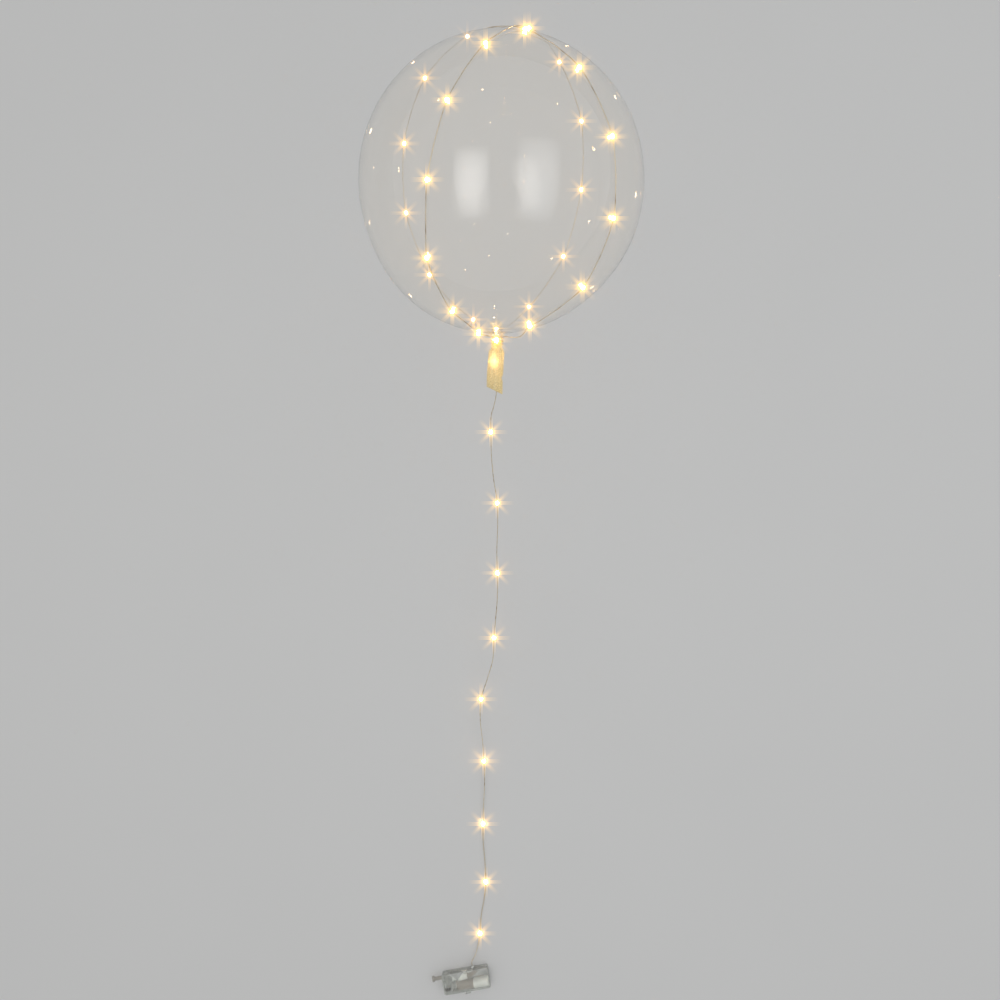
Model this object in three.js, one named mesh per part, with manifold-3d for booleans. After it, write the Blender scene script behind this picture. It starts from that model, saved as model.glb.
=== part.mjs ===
// Clear bubble balloon with a string of small lamps wound over it, and the string's battery case.
// Millimetres, +Z up. The balloon lies on its side: its crown points to +Y and its neck to -Y.
// The origin is the middle of the small flat spot that it rests on.
import * as THREE from 'three';
import { mergeVertices } from 'three/addons/utils/BufferGeometryUtils.js';
import Module from 'manifold-3d';

const wasm = await Module();
wasm.setup();

// The film bubble: half its width, its reach to the crown and to the neck, and its resting spot
const film_radius = 190;
const crown_reach = 193.4;
const neck_reach = 200.4;
const rest_spot_radius = 30;
const film_sides = 40;
const film_rows = 19;
const funnel_rows = [0.35, 0.7, 1];

// The gathered neck, and how far it sits to one side of the bubble's middle
const neck_radius = 7;
const funnel_radius = 26;
const funnel_length = 5.5;
const neck_length = 14;
const neck_lean = 5.9;
const lean_start = 60;

// The flattened tail of film past the neck
const tail_length = 59;
const tail_width = 21.6;
const tail_thickness = 1.4;
const tail_arch = 4.2;
const tail_pleat = 0.5;
const tail_pleats = 3;
const tail_slant = 10.5;
const tail_spread = 8;
const tail_sag = 18.9;
const tail_side_drift = 3.4;
const tail_edge_sharpness = 3;
const tail_rows = [0.12, 0.26, 0.42, 0.6, 0.8, 1];

// The twin wire of the string, taken as one round of its full width
const wire_radius = 0.65;
const wire_film_gap = 0.7;
const wire_sides = 6;
const wire_max_step = 24;
const wire_max_turn = 25;
const neck_turn_rise = 3.9;
const neck_turn_step = 36;
const crossing_lift = 2.7;

// The wire between two lamps on the film: its stops as shares of the way, and how it comes down from a lamp
const strand_shares = [0.14, 0.32, 0.5, 0.68, 0.86];
const shoulder_share = 0.2;
const shoulder_drop = 0.2;

// How finely the wire's line is measured between two stops
const walk_samples = 60;
const ring_samples = 16;

// The lamps: drops of clear resin cast on the wire
const lamp_radius = 2.2;
const lamp_length = 6.4;
const lamp_wire_gap = 0.5;
const lamp_film_gap = 0.35;
const lamp_flat_share = 0.45;
const lamp_end_room = 0.7;
const lamp_sides = 8;

// The loose run of the string
const tail_string_sides = 8;
const tail_string_max_step = 14;
const tail_string_start = 2.2;
const tail_string_side = 2.7;
const joint_gap = 0.3;

// The two cells, and the case that is built round them
const cell_radius = 7.1;
const cell_length = 49.5;
const cell_nub_radius = 2.7;
const cell_nub_length = 1;
const cell_sides = 20;
const cell_gap = 0.3;
const case_wall = 1.1;
const case_corner_radius = 3;
const case_least_corner = 0.5;
const spring_length = 6;
const spring_radius = 4.2;
const spring_tip_radius = 2.2;
const spring_sides = 12;
const contact_thickness = 0.5;
const contact_side_gap = 2.2;
const switch_bay_length = 11;
const lid_thickness = 1.2;
const lid_seat_gap = 0.3;
const case_x = -54;
const case_y = -1182;
const case_turn = 10;

// The lid's snap tabs and grip ribs, the slide switch, and the peg on the case's end
const tab_length = 9;
const tab_depth = 2.6;
const tab_height = 6;
const grip_ribs = 4;
const grip_rib_width = 0.8;
const grip_rib_length = 4.5;
const grip_rib_height = 0.4;
const grip_pitch = 2.3;
const grip_x = -18;
const grip_y = -9;
const switch_knob_length = 5;
const switch_knob_width = 4;
const switch_knob_rise = 1.6;
const switch_travel = 3.4;
const switch_ribs = 3;
const switch_rib_height = 0.5;
const switch_body_length = 9;
const switch_body_width = 6;
const switch_body_height = 4;
const switch_shelf_width = 12;
const peg_radius = 3;
const peg_length = 12;
const peg_head_radius = 4.6;
const peg_head_length = 3.4;
const peg_offset = 9.4;
const peg_sides = 16;

// The bushing where the string enters the case
const bushing_radius = 2.4;
const bushing_tip_radius = 1.7;
const bushing_length = 4.5;
const bushing_place = 13;
const bushing_bore_gap = 0.35;
const bushing_sides = 12;
const bushing_approach = 5;

// Sizes that follow from these
const centre_height = Math.sqrt(film_radius ** 2 - rest_spot_radius ** 2);
const wire_lift = wire_radius + wire_film_gap;
const lamp_lift = lamp_radius + lamp_film_gap;
const lamp_seat = lamp_length / 2 + lamp_end_room;
const neck_top = funnelStart() + funnel_length;
const neck_end = neck_top + neck_length;
const tail_end = neck_end + tail_length;
const case_inner_width = 2 * cell_radius * 2 + 3 * cell_gap;
const case_inner_height = 2 * cell_radius + 2 * cell_gap;
const cell_bay_length = cell_length + cell_nub_length + spring_length + 2 * contact_thickness + cell_gap;
const case_inner_length = cell_bay_length + case_wall + switch_bay_length;
const case_length = case_inner_length + 2 * case_wall;
const case_width = case_inner_width + 2 * case_wall;
const tray_height = case_wall + case_inner_height;
const case_height = tray_height + lid_seat_gap + lid_thickness;
const cell_axis_height = case_wall + cell_gap + cell_radius;
const bay_start = -case_length / 2 + case_wall;
const partition_start = bay_start + switch_bay_length;
const cell_bay_start = partition_start + case_wall;
const switch_x = bay_start + switch_bay_length / 2;
const switch_y = -case_inner_width / 4;

// Places along the film, on its middle line and on its surface
function radians(degrees) {
  return degrees * Math.PI / 180;
}

function smooth(from, to, value) {
  return THREE.MathUtils.smoothstep(value, from, to);
}

function funnelStart() {
  return neck_reach * Math.sqrt(1 - (funnel_radius / film_radius) ** 2);
}

function leanAt(down) {
  const lean = neck_lean * smooth(lean_start, neck_reach, down);
  const drift = tail_side_drift * smooth(neck_top, tail_end, down);
  return lean + drift;
}

function sagAt(down) {
  const share = Math.max(0, down - neck_top) / (tail_end - neck_top);
  return tail_sag * share ** 2;
}

function middleLine(down) {
  return new THREE.Vector3(-leanAt(down), -down, centre_height - sagAt(down));
}

function heading(polar, azimuth) {
  const ring = Math.sin(radians(polar));
  const across = ring * Math.sin(radians(azimuth));
  const up = ring * Math.cos(radians(azimuth));
  return new THREE.Vector3(across, Math.cos(radians(polar)), up);
}

function onFilm(direction, lift) {
  const reach = direction.y > 0 ? crown_reach : neck_reach;
  const point = new THREE.Vector3(direction.x * film_radius, direction.y * reach, direction.z * film_radius);
  const outward = new THREE.Vector3(direction.x, direction.y * film_radius / reach, direction.z);
  point.addScaledVector(outward.normalize(), lift);
  return new THREE.Vector3(point.x - leanAt(-point.y), point.y, point.z + centre_height);
}

function aroundNeck(azimuth, down, lift = wire_lift) {
  const ring = neck_radius + lift;
  const middle = middleLine(down);
  middle.x += ring * Math.sin(radians(azimuth));
  middle.z += ring * Math.cos(radians(azimuth));
  return middle;
}

function beside(down, across, up) {
  return middleLine(down).add(new THREE.Vector3(across, 0, up));
}

// Solids and their booleans
function solidOf(geometry) {
  const bare = geometry.clone();
  bare.deleteAttribute('normal');
  bare.deleteAttribute('uv');
  const merged = mergeVertices(bare);
  const index = merged.index.array;
  const kept = [];
  for (let i = 0; i < index.length; i += 3) {
    const [a, b, c] = [index[i], index[i + 1], index[i + 2]];
    if (a !== b && b !== c && c !== a) {
      kept.push(a, b, c);
    }
  }
  const mesh = new wasm.Mesh({
    numProp: 3,
    vertProperties: new Float32Array(merged.attributes.position.array),
    triVerts: new Uint32Array(kept),
  });
  return new wasm.Manifold(mesh);
}

function geometryOf(solid) {
  const mesh = solid.getMesh();
  const geometry = new THREE.BufferGeometry();
  const positions = new Float32Array(mesh.numVert * 3);
  for (let i = 0; i < mesh.numVert; i += 1) {
    for (let k = 0; k < 3; k += 1) {
      positions[3 * i + k] = mesh.vertProperties[mesh.numProp * i + k];
    }
  }
  geometry.setAttribute('position', new THREE.BufferAttribute(positions, 3));
  geometry.setIndex(new THREE.BufferAttribute(new Uint32Array(mesh.triVerts), 1));
  return geometry;
}

function block(sizeX, sizeY, sizeZ, x, y, z) {
  const geometry = new THREE.BoxGeometry(sizeX, sizeY, sizeZ);
  geometry.translate(x, y, z);
  return solidOf(geometry);
}

function roundedBlock(length, width, radius, low, high) {
  const shape = new THREE.Shape();
  const [x, y] = [length / 2, width / 2];
  shape.moveTo(-x + radius, -y);
  shape.lineTo(x - radius, -y);
  shape.absarc(x - radius, -y + radius, radius, -Math.PI / 2, 0);
  shape.lineTo(x, y - radius);
  shape.absarc(x - radius, y - radius, radius, 0, Math.PI / 2);
  shape.lineTo(-x + radius, y);
  shape.absarc(-x + radius, y - radius, radius, Math.PI / 2, Math.PI);
  shape.lineTo(-x, -y + radius);
  shape.absarc(-x + radius, -y + radius, radius, Math.PI, 1.5 * Math.PI);
  const options = { depth: high - low, bevelEnabled: false, curveSegments: 4 };
  const geometry = new THREE.ExtrudeGeometry(shape, options);
  geometry.translate(0, 0, low);
  return solidOf(geometry);
}

function turned(profile, sides) {
  const points = profile.map(([radius, along]) => new THREE.Vector2(radius, along));
  return new THREE.LatheGeometry(points, sides);
}

function alongX(geometry, x, y, z) {
  geometry.rotateZ(-Math.PI / 2);
  geometry.translate(x, y, z);
  return geometry;
}

// The film balloon: a bubble turned about its length, whose neck is gathered and whose tail is flattened
function filmProfile() {
  const funnel_polar = Math.PI - Math.asin(funnel_radius / film_radius);
  const bubble = [];
  for (let row = 0; row <= film_rows; row += 1) {
    const polar = funnel_polar * row / film_rows;
    const reach = polar < Math.PI / 2 ? crown_reach : neck_reach;
    bubble.push([film_radius * Math.sin(polar), reach * Math.cos(polar)]);
  }
  const funnel = [];
  for (const share of funnel_rows) {
    const radius = neck_radius + (funnel_radius - neck_radius) * (1 - share) ** 2;
    funnel.push([radius, -funnelStart() - funnel_length * share]);
  }
  const neck = [[neck_radius, -neck_end]];
  const tail = tail_rows.map((share) => [neck_radius, -neck_end - tail_length * share]);
  return [...bubble, ...funnel, ...neck, ...tail].reverse();
}

function tailSection(across, upper, edge) {
  const arch = -tail_arch * across ** 2;
  const pleats = tail_pleat * Math.cos(Math.PI * tail_pleats * across);
  return arch + pleats + (upper ? 1 : -1) * edge * tail_thickness / 2;
}

function shapeFilm(geometry) {
  const place = geometry.attributes.position;
  for (let i = 0; i < place.count; i += 1) {
    const [x, y, z] = [place.getX(i), place.getY(i), place.getZ(i)];
    const down = -y;
    const flat = smooth(neck_end, neck_end + tail_spread, down);
    const turn = Math.atan2(x, z);
    const across = Math.sin(turn);
    const closing = down > tail_end - tail_thickness / 2 ? 0 : 1;
    const edge = Math.min(1, tail_edge_sharpness * Math.abs(Math.cos(turn))) * closing;
    const flatX = across * tail_width / 2;
    const flatZ = tailSection(across, Math.cos(turn) > 0, edge);
    const slant = across * tail_slant / 2 * smooth(neck_end, tail_end, down);
    const middle = middleLine(down);
    place.setXYZ(
      i,
      middle.x + THREE.MathUtils.lerp(x, flatX, flat),
      y - slant,
      middle.z + THREE.MathUtils.lerp(z, flatZ, flat),
    );
  }
  return geometry;
}

function filmBalloon() {
  const bubble = solidOf(shapeFilm(turned(filmProfile(), film_sides)));
  const side = 2 * film_radius;
  const floor = block(side, 2 * side, side, 0, 0, -side / 2);
  return geometryOf(bubble.subtract(floor));
}

// Routes: each stop is a place, and says whether a lamp sits there
function stop(at, lamp = false) {
  return { at, lamp };
}

function between(from, to, share) {
  const angle = from.angleTo(to);
  const a = Math.sin((1 - share) * angle) / Math.sin(angle);
  const b = Math.sin(share * angle) / Math.sin(angle);
  return from.clone().multiplyScalar(a).addScaledVector(to, b).normalize();
}

// A strand pressed on the film through lamps at [polar, azimuth]; the wire rises a little over each lamp
function strandOnFilm(spots) {
  const stops = [];
  spots.forEach(([polar, azimuth, extra = 0, lamp = true], i) => {
    const here = heading(polar, azimuth);
    stops.push(stop(onFilm(here, (lamp ? lamp_lift : wire_lift) + extra), lamp));
    if (i + 1 < spots.length) {
      const next = heading(spots[i + 1][0], spots[i + 1][1]);
      const extraNext = spots[i + 1][2] ?? 0;
      for (const share of strand_shares) {
        const near = Math.min(share, 1 - share) < shoulder_share;
        const lift = near ? lamp_lift - shoulder_drop : wire_lift;
        const raised = lift + THREE.MathUtils.lerp(extra, extraNext, share);
        stops.push(stop(onFilm(between(here, next, share), raised)));
      }
    }
  });
  return stops;
}

function neckTurns(fromAzimuth, toAzimuth, fromDown, toDown) {
  const count = Math.ceil(Math.abs(toAzimuth - fromAzimuth) / neck_turn_step);
  const stops = [];
  for (let i = 0; i <= count; i += 1) {
    const azimuth = THREE.MathUtils.lerp(fromAzimuth, toAzimuth, i / count);
    stops.push(stop(aroundNeck(azimuth, THREE.MathUtils.lerp(fromDown, toDown, i / count))));
  }
  return stops;
}

// A lamp can't bend, so it stands straight off the neck with the wire straight at both its ends
function lampOnNeck(azimuth, down) {
  const middle = aroundNeck(azimuth, down, lamp_lift + lamp_film_gap);
  const along = new THREE.Vector3(Math.cos(radians(azimuth)), 0, -Math.sin(radians(azimuth)));
  const before = middle.clone().addScaledVector(along, -lamp_seat);
  const after = middle.clone().addScaledVector(along, lamp_seat);
  return [stop(before), stop(middle, true), stop(after)];
}

// Polar angle from the crown and azimuth from the top of each lamp, strand by strand, and of the place
// without a lamp where the first strand passes over the second
const front_left_and_back_right = [
  [166, -40, 0, false], [151, -38.5], [125, -35], [98, -28], [70.5, -21], [43, -8.5],
  [23.5, 15.8, crossing_lift, false],
  [18, 36.6], [29, 122], [57, 135], [85, 142.5], [113, 149], [140, 159], [166.5, -176],
];
const front_right_and_back_left = [
  [162.5, 48], [136.5, 55], [109, 50], [81, 45.6], [53.4, 38.4], [27, 20],
  [13.5, -88], [39, -119.5], [67.5, -129], [95.5, -134], [122.5, -141], [150, -159.5], [172.3, -92],
];

// Places of the wire by the neck, chosen by hand: down from the neck's top, across and up
const hook_points = [[-2.6, 0, -26], [-1, 1.5, -17]];
const slack_points = [[2.6, 19, 9], [1.6, 32, 23]];

// Places of the wire under the tail: share of the tail, across, up from a lamp's level; true holds a lamp
const under_tail_points = [[0.2, -2, -1.2], [0.32, -2.4, 0, true], [0.54, -1, 0.6], [0.78, 1.5, 0.6]];

// The wire's turns round the neck, by azimuth; the lamp among them sits straight off the neck
const tie_start = [145, 85];
const first_turns = [-45, 312];
const neck_lamp_azimuth = 355;
const last_turns = [398, 885];
const lamp_turn_room = 1.7;
const turn_drift = 0.4;

function neckStops(points) {
  return points.map(([down, across, up]) => stop(beside(neck_top + down, across, up)));
}

function underTail() {
  const level = -tail_thickness - lamp_lift - tail_pleat;
  return under_tail_points.map(([share, across, up, lamp = false]) => (
    stop(beside(neck_end + tail_length * share, across, level + up), lamp)
  ));
}

function woundRoute() {
  const tie = neck_top;
  const first_turn = tie + 2 * turn_drift;
  const lamp_turn = first_turn + neck_turn_rise + lamp_turn_room;
  const last_turn = lamp_turn + 1.5 * neck_turn_rise;
  const under_neck = -neck_radius - wire_lift;
  return [
    ...strandOnFilm(front_left_and_back_right),
    ...neckStops(hook_points),
    ...neckTurns(...tie_start, tie, tie + turn_drift),
    ...neckStops(slack_points),
    ...strandOnFilm(front_right_and_back_left),
    ...neckTurns(...first_turns, first_turn + 2 * turn_drift, lamp_turn - turn_drift),
    ...lampOnNeck(neck_lamp_azimuth, lamp_turn),
    ...neckTurns(...last_turns, lamp_turn + turn_drift, last_turn),
    stop(beside(last_turn + neck_turn_rise, 0, under_neck)),
    stop(beside(neck_end + neck_turn_rise, -1, under_neck + wire_lift)),
    ...underTail(),
    stop(stringExit()),
  ];
}

function stringExit() {
  const under = -tail_thickness / 2 - wire_lift - tail_pleat;
  return beside(tail_end + tail_string_start, tail_string_side, under);
}

// The loose run, chosen by hand: it leaves the tail, sags to the floor and lies on it up to the case
const leaving = new THREE.Vector3(-1.4, -9, -4.3);
const loose_points = [
  [-10.5, -299, 156.6], [-14, -311, 151.4],
  [-14.4, -334, 141.4, true], [-14, -365, 128.5], [-11, -400, 114.8],
  [-5.8, -436, 101.5, true], [-5.2, -470, 89.7], [-6.4, -505, 78.4],
  [-5.9, -541, 67.6, true], [-5.5, -575, 58.1], [-8, -608, 49.7],
  [-10.8, -642, 41.7, true], [-12.5, -675, 34.7], [-21, -707, 28.6],
  [-30.6, -739, 23.1, true], [-31.8, -772, 18.1], [-28.5, -805, 13.8],
  [-26.3, -838, 10.2, true], [-25.5, -871, 7.3], [-26.8, -904, 5.1],
  [-27.9, -938, 3.6, true], [-27.5, -968, 2.3], [-25, -1000, 1.2],
  [-23.8, -1030, 2.5, true], [-26, -1055, 1.2], [-31, -1085, 1.2],
  [-32.8, -1112, 2.5, true], [-35.5, -1128, 2.4], [-40, -1144, 5.6],
];

function caseToWorld(x, y, z) {
  const turn = new THREE.Vector3(x, y, z).applyAxisAngle(new THREE.Vector3(0, 0, 1), radians(case_turn));
  return turn.add(new THREE.Vector3(case_x, case_y, 0));
}

function looseRoute() {
  const exit = stringExit();
  const entry = case_width / 2 + bushing_length + joint_gap;
  return [
    stop(exit.clone().addScaledVector(leaving, joint_gap / leaving.length())),
    stop(exit.clone().add(leaving)),
    ...loose_points.map(([x, y, z, lamp = false]) => stop(new THREE.Vector3(x, y, z), lamp)),
    stop(caseToWorld(bushing_place, entry + bushing_approach, cell_axis_height - joint_gap)),
    stop(caseToWorld(bushing_place, entry, cell_axis_height)),
  ];
}

// A smooth line through a route's stops, whose rings stand closer where it bends and clear of each lamp
class StringPath extends THREE.Curve {
  constructor(route, maxStep) {
    super();
    this.line = new THREE.CatmullRomCurve3(route.map((s) => s.at), false, 'centripetal');
    this.route = route;
    this.seats = [];
    this.rings = this.spreadRings(maxStep);
  }

  // The place on the line that is this far from t, forwards or backwards
  walk(t, distance) {
    const step = Math.sign(distance) / (this.route.length * walk_samples);
    let here = this.line.getPoint(t);
    let gone = 0;
    while (gone < Math.abs(distance)) {
      t += step;
      const next = this.line.getPoint(t);
      gone += next.distanceTo(here);
      here = next;
    }
    return t;
  }

  spreadRings(maxStep) {
    const rings = [0];
    this.route.forEach((s, i) => {
      if (s.lamp) {
        const t = i / (this.route.length - 1);
        const seat = [this.walk(t, -lamp_seat), this.walk(t, lamp_seat)];
        this.fill(rings, seat[0], maxStep);
        rings.push(seat[1]);
        this.seats.push(seat);
      }
    });
    this.fill(rings, 1, maxStep);
    return rings;
  }

  fill(rings, to, maxStep) {
    const from = rings[rings.length - 1];
    const samples = Math.ceil((to - from) * this.route.length * ring_samples) + 2;
    const cost = [0];
    let before = this.line.getPoint(from);
    let facing = this.line.getTangent(from);
    for (let i = 1; i <= samples; i += 1) {
      const t = THREE.MathUtils.lerp(from, to, i / samples);
      const here = this.line.getPoint(t);
      const ahead = this.line.getTangent(t);
      const step = here.distanceTo(before) / maxStep + facing.angleTo(ahead) / radians(wire_max_turn);
      cost.push(cost[i - 1] + step);
      before = here;
      facing = ahead;
    }
    const count = Math.max(1, Math.round(cost[samples]));
    let i = 0;
    for (let ring = 1; ring < count; ring += 1) {
      const target = cost[samples] * ring / count;
      while (cost[i + 1] < target) {
        i += 1;
      }
      const share = (i + (target - cost[i]) / (cost[i + 1] - cost[i])) / samples;
      rings.push(THREE.MathUtils.lerp(from, to, share));
    }
    rings.push(to);
  }

  ringAt(u) {
    const place = u * (this.rings.length - 1);
    const i = Math.min(Math.floor(place + 1e-9), this.rings.length - 2);
    return THREE.MathUtils.lerp(this.rings[i], this.rings[i + 1], place - i);
  }

  getPointAt(u, target) {
    return this.line.getPoint(this.ringAt(u), target);
  }

  getTangentAt(u, target) {
    return this.line.getTangent(this.ringAt(u), target);
  }
}

function stringTube(path, sides) {
  const section = new THREE.Shape();
  for (let i = 0; i < sides; i += 1) {
    const turn = 2 * Math.PI * i / sides;
    const [x, y] = [wire_radius * Math.cos(turn), wire_radius * Math.sin(turn)];
    if (i === 0) {
      section.moveTo(x, y);
    } else {
      section.lineTo(x, y);
    }
  }
  const options = { extrudePath: path, steps: path.rings.length - 1, bevelEnabled: false };
  return new THREE.ExtrudeGeometry(section, options);
}

// One lamp: a barrel of resin with the wire through it
function lampGeometry() {
  const bore = wire_radius + lamp_wire_gap;
  const half = lamp_length / 2;
  const flat = half * lamp_flat_share;
  const profile = [[bore, -half], [lamp_radius, -flat], [lamp_radius, flat], [bore, half], [bore, -half]];
  return turned(profile, lamp_sides);
}

// The case: a tray with a partition and a peg, its lid, the switch, the contacts and the cells
function caseTray() {
  const corner = case_corner_radius;
  const inner_corner = Math.max(case_least_corner, corner - case_wall);
  const outer = roundedBlock(case_length, case_width, corner, 0, tray_height);
  const hollow = roundedBlock(
    case_inner_length, case_inner_width, inner_corner, case_wall, tray_height + case_wall,
  );
  const partition = block(
    case_wall, case_inner_width + case_wall, case_inner_height,
    partition_start + case_wall / 2, 0, case_wall + case_inner_height / 2,
  );
  const shelf = block(
    switch_bay_length + case_wall, switch_shelf_width, switchShelfTop() - case_wall / 2,
    switch_x, switch_y, case_wall / 2 + (switchShelfTop() - case_wall / 2) / 2,
  );
  return geometryOf(outer.subtract(hollow).add(partition).add(shelf).add(peg()));
}

function switchShelfTop() {
  return tray_height - switch_body_height - lid_seat_gap;
}

function peg() {
  const root = case_wall / 2;
  const profile = [
    [0, -root], [peg_radius, -root], [peg_radius, peg_length], [peg_head_radius, peg_length],
    [peg_head_radius, peg_length + peg_head_length], [0, peg_length + peg_head_length],
  ];
  const geometry = turned(profile, peg_sides);
  geometry.rotateZ(Math.PI / 2);
  geometry.translate(-case_length / 2, peg_offset, cell_axis_height);
  return solidOf(geometry);
}

function caseLid() {
  const low = tray_height + lid_seat_gap;
  const plate = roundedBlock(case_length, case_width, case_corner_radius, low, case_height);
  const slot_length = switch_knob_length + switch_travel + 2 * lid_seat_gap;
  const slot_width = switch_knob_width + 2 * lid_seat_gap;
  const slot = block(slot_length, slot_width, 4 * lid_thickness, switch_x, switch_y, low);
  let lid = plate;
  for (const side of [-1, 1]) {
    const depth = side < 0 ? tab_depth : tab_depth / 2;
    const root = case_corner_radius / 2;
    const tab_middle = case_width / 2 + lid_seat_gap + depth / 2;
    const arm_middle = tab_middle - root / 2 + lid_seat_gap / 2;
    const arm = block(
      tab_length, depth + root, lid_thickness,
      0, side * arm_middle, low + lid_thickness / 2,
    );
    const drop = block(
      tab_length, depth, tab_height,
      0, side * tab_middle, case_height - tab_height / 2,
    );
    lid = lid.add(arm).add(drop);
  }
  for (let i = 0; i < grip_ribs; i += 1) {
    const x = grip_x + grip_pitch * (i - (grip_ribs - 1) / 2);
    lid = lid.add(block(grip_rib_width, grip_rib_length, 2 * grip_rib_height, x, grip_y, case_height));
  }
  return geometryOf(lid.subtract(slot));
}

function slideSwitch() {
  const base = switchShelfTop() + lid_seat_gap / 2;
  const body = block(
    switch_body_length, switch_body_width, switch_body_height - lid_seat_gap / 2,
    switch_x, switch_y, base + (switch_body_height - lid_seat_gap / 2) / 2,
  );
  const knob_top = case_height + switch_knob_rise;
  const knob_x = switch_x - switch_travel / 2;
  const knob = block(
    switch_knob_length, switch_knob_width, knob_top - base,
    knob_x, switch_y, (knob_top + base) / 2,
  );
  let whole = body.add(knob);
  const pitch = switch_knob_length / switch_ribs;
  for (let i = 0; i < switch_ribs; i += 1) {
    const x = knob_x - switch_knob_length / 2 + pitch * (i + 0.5);
    whole = whole.add(block(pitch / 2, switch_knob_width, 2 * switch_rib_height, x, switch_y, knob_top));
  }
  return geometryOf(whole);
}

function cellGeometry(side) {
  const half = cell_length / 2;
  const profile = [
    [0, -half], [cell_radius, -half], [cell_radius, half],
    [cell_nub_radius, half], [cell_nub_radius, half + cell_nub_length], [0, half + cell_nub_length],
  ];
  const geometry = turned(profile, cell_sides);
  geometry.rotateZ(side * Math.PI / 2);
  const nub_room = contact_thickness + cell_gap / 2 + (side > 0 ? cell_nub_length : spring_length);
  const y = side * (cell_radius + cell_gap / 2);
  geometry.translate(cell_bay_start + nub_room + half, y, cell_axis_height);
  return geometry;
}

// A contact plate at one end of the cell bay, with a tapered spring for one cell
function contactPlate(end) {
  const inner = case_inner_width - 2 * contact_side_gap;
  const height = case_inner_height - 2 * cell_gap;
  const x = end < 0
    ? cell_bay_start + cell_gap / 4 + contact_thickness / 2
    : cell_bay_start + cell_bay_length - cell_gap / 4 - contact_thickness / 2;
  const plate = block(contact_thickness, inner, height, x, 0, cell_axis_height);
  const reach = spring_length - cell_gap;
  const spring = turned([[0, 0], [spring_radius, 0], [spring_tip_radius, reach], [0, reach]], spring_sides);
  spring.rotateZ(end * Math.PI / 2);
  spring.translate(x, end * (cell_radius + cell_gap / 2), cell_axis_height);
  return geometryOf(plate.add(solidOf(spring)));
}

// The bushing that grips the string where it enters the case's long side
function bushingGeometry() {
  const bore = wire_radius + bushing_bore_gap;
  const foot = joint_gap / 2;
  const profile = [
    [bore, foot], [bushing_radius, foot],
    [bushing_tip_radius, bushing_length], [bore, bushing_length], [bore, foot],
  ];
  const geometry = turned(profile, bushing_sides);
  geometry.translate(bushing_place, case_width / 2, cell_axis_height);
  return geometry;
}

// Materials
function finish(colour, roughness, metalness, opacity = 1) {
  const transparent = opacity < 1;
  return new THREE.MeshStandardMaterial({ color: colour, roughness, metalness, transparent, opacity });
}

const clear_film = () => finish(0xe8ecee, 0.05, 0, 0.25);
const silver_wire = () => finish(0xb9a98c, 0.35, 1);
const warm_resin = () => finish(0xffe2a8, 0.15, 0);
const clear_plastic = () => finish(0xd7dccb, 0.2, 0, 0.5);
const cell_jacket = () => finish(0x8a8578, 0.4, 0.3);
const nickel_plate = () => finish(0xc8c8c4, 0.3, 1);
const switch_plastic = () => finish(0x33322f, 0.5, 0);

// The whole object
const group = new THREE.Group();

function addPart(parent, name, geometry, material) {
  const mesh = new THREE.Mesh(geometry, material);
  mesh.name = name;
  parent.add(mesh);
  return mesh;
}

function addString(name, lampName, route, sides, maxStep) {
  const path = new StringPath(route, maxStep);
  addPart(group, name, stringTube(path, sides), silver_wire());
  path.seats.forEach(([start, end], i) => {
    const number = String(i + 1).padStart(2, '0');
    const lamp = addPart(group, `${lampName}_${number}`, lampGeometry(), warm_resin());
    const [from, to] = [path.line.getPoint(start), path.line.getPoint(end)];
    lamp.position.lerpVectors(from, to, 0.5);
    lamp.quaternion.setFromUnitVectors(new THREE.Vector3(0, 1, 0), to.sub(from).normalize());
  });
}

function addCase() {
  const box = new THREE.Group();
  box.position.set(case_x, case_y, 0);
  box.rotation.z = radians(case_turn);
  addPart(box, 'case_tray', caseTray(), clear_plastic());
  addPart(box, 'case_lid', caseLid(), clear_plastic());
  addPart(box, 'slide_switch', slideSwitch(), switch_plastic());
  addPart(box, 'cell_near', cellGeometry(-1), cell_jacket());
  addPart(box, 'cell_far', cellGeometry(1), cell_jacket());
  addPart(box, 'contact_bay_end', contactPlate(-1), nickel_plate());
  addPart(box, 'contact_far_end', contactPlate(1), nickel_plate());
  addPart(box, 'string_bushing', bushingGeometry(), clear_plastic());
  group.add(box);
}

addPart(group, 'film_balloon', filmBalloon(), clear_film());
addString('wound_string', 'balloon_lamp', woundRoute(), wire_sides, wire_max_step);
addString('loose_string', 'string_lamp', looseRoute(), tail_string_sides, tail_string_max_step);
addCase();

export default group;
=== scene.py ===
"""Clear bubble balloon, wound with a string of small lamps, and the string's battery case.

The balloon lies on its side: its crown points to +Y, its neck to -Y, and +Z is up. Everything is in metres.
"""
import math

import bmesh
import bpy
import numpy as np
from bpy.props import FloatProperty, FloatVectorProperty, IntProperty, PointerProperty
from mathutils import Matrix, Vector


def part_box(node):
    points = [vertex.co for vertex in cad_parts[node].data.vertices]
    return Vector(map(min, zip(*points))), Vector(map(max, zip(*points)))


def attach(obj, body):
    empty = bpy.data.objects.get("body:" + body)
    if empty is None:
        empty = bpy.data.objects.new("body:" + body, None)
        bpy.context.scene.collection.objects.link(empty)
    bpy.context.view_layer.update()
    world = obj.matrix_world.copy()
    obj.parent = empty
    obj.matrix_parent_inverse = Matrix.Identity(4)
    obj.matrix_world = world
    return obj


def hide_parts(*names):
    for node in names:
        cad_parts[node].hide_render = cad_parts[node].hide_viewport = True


bl_info = {
    "name": "Clear bubble balloon",
    "version": (1, 0, 0),
    "blender": (4, 5, 0),
    "location": "View3D > Sidebar > Balloon",
    "description": "Builds a clear bubble balloon with a string of small lamps and its battery case",
    "category": "Add Mesh",
}

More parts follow.
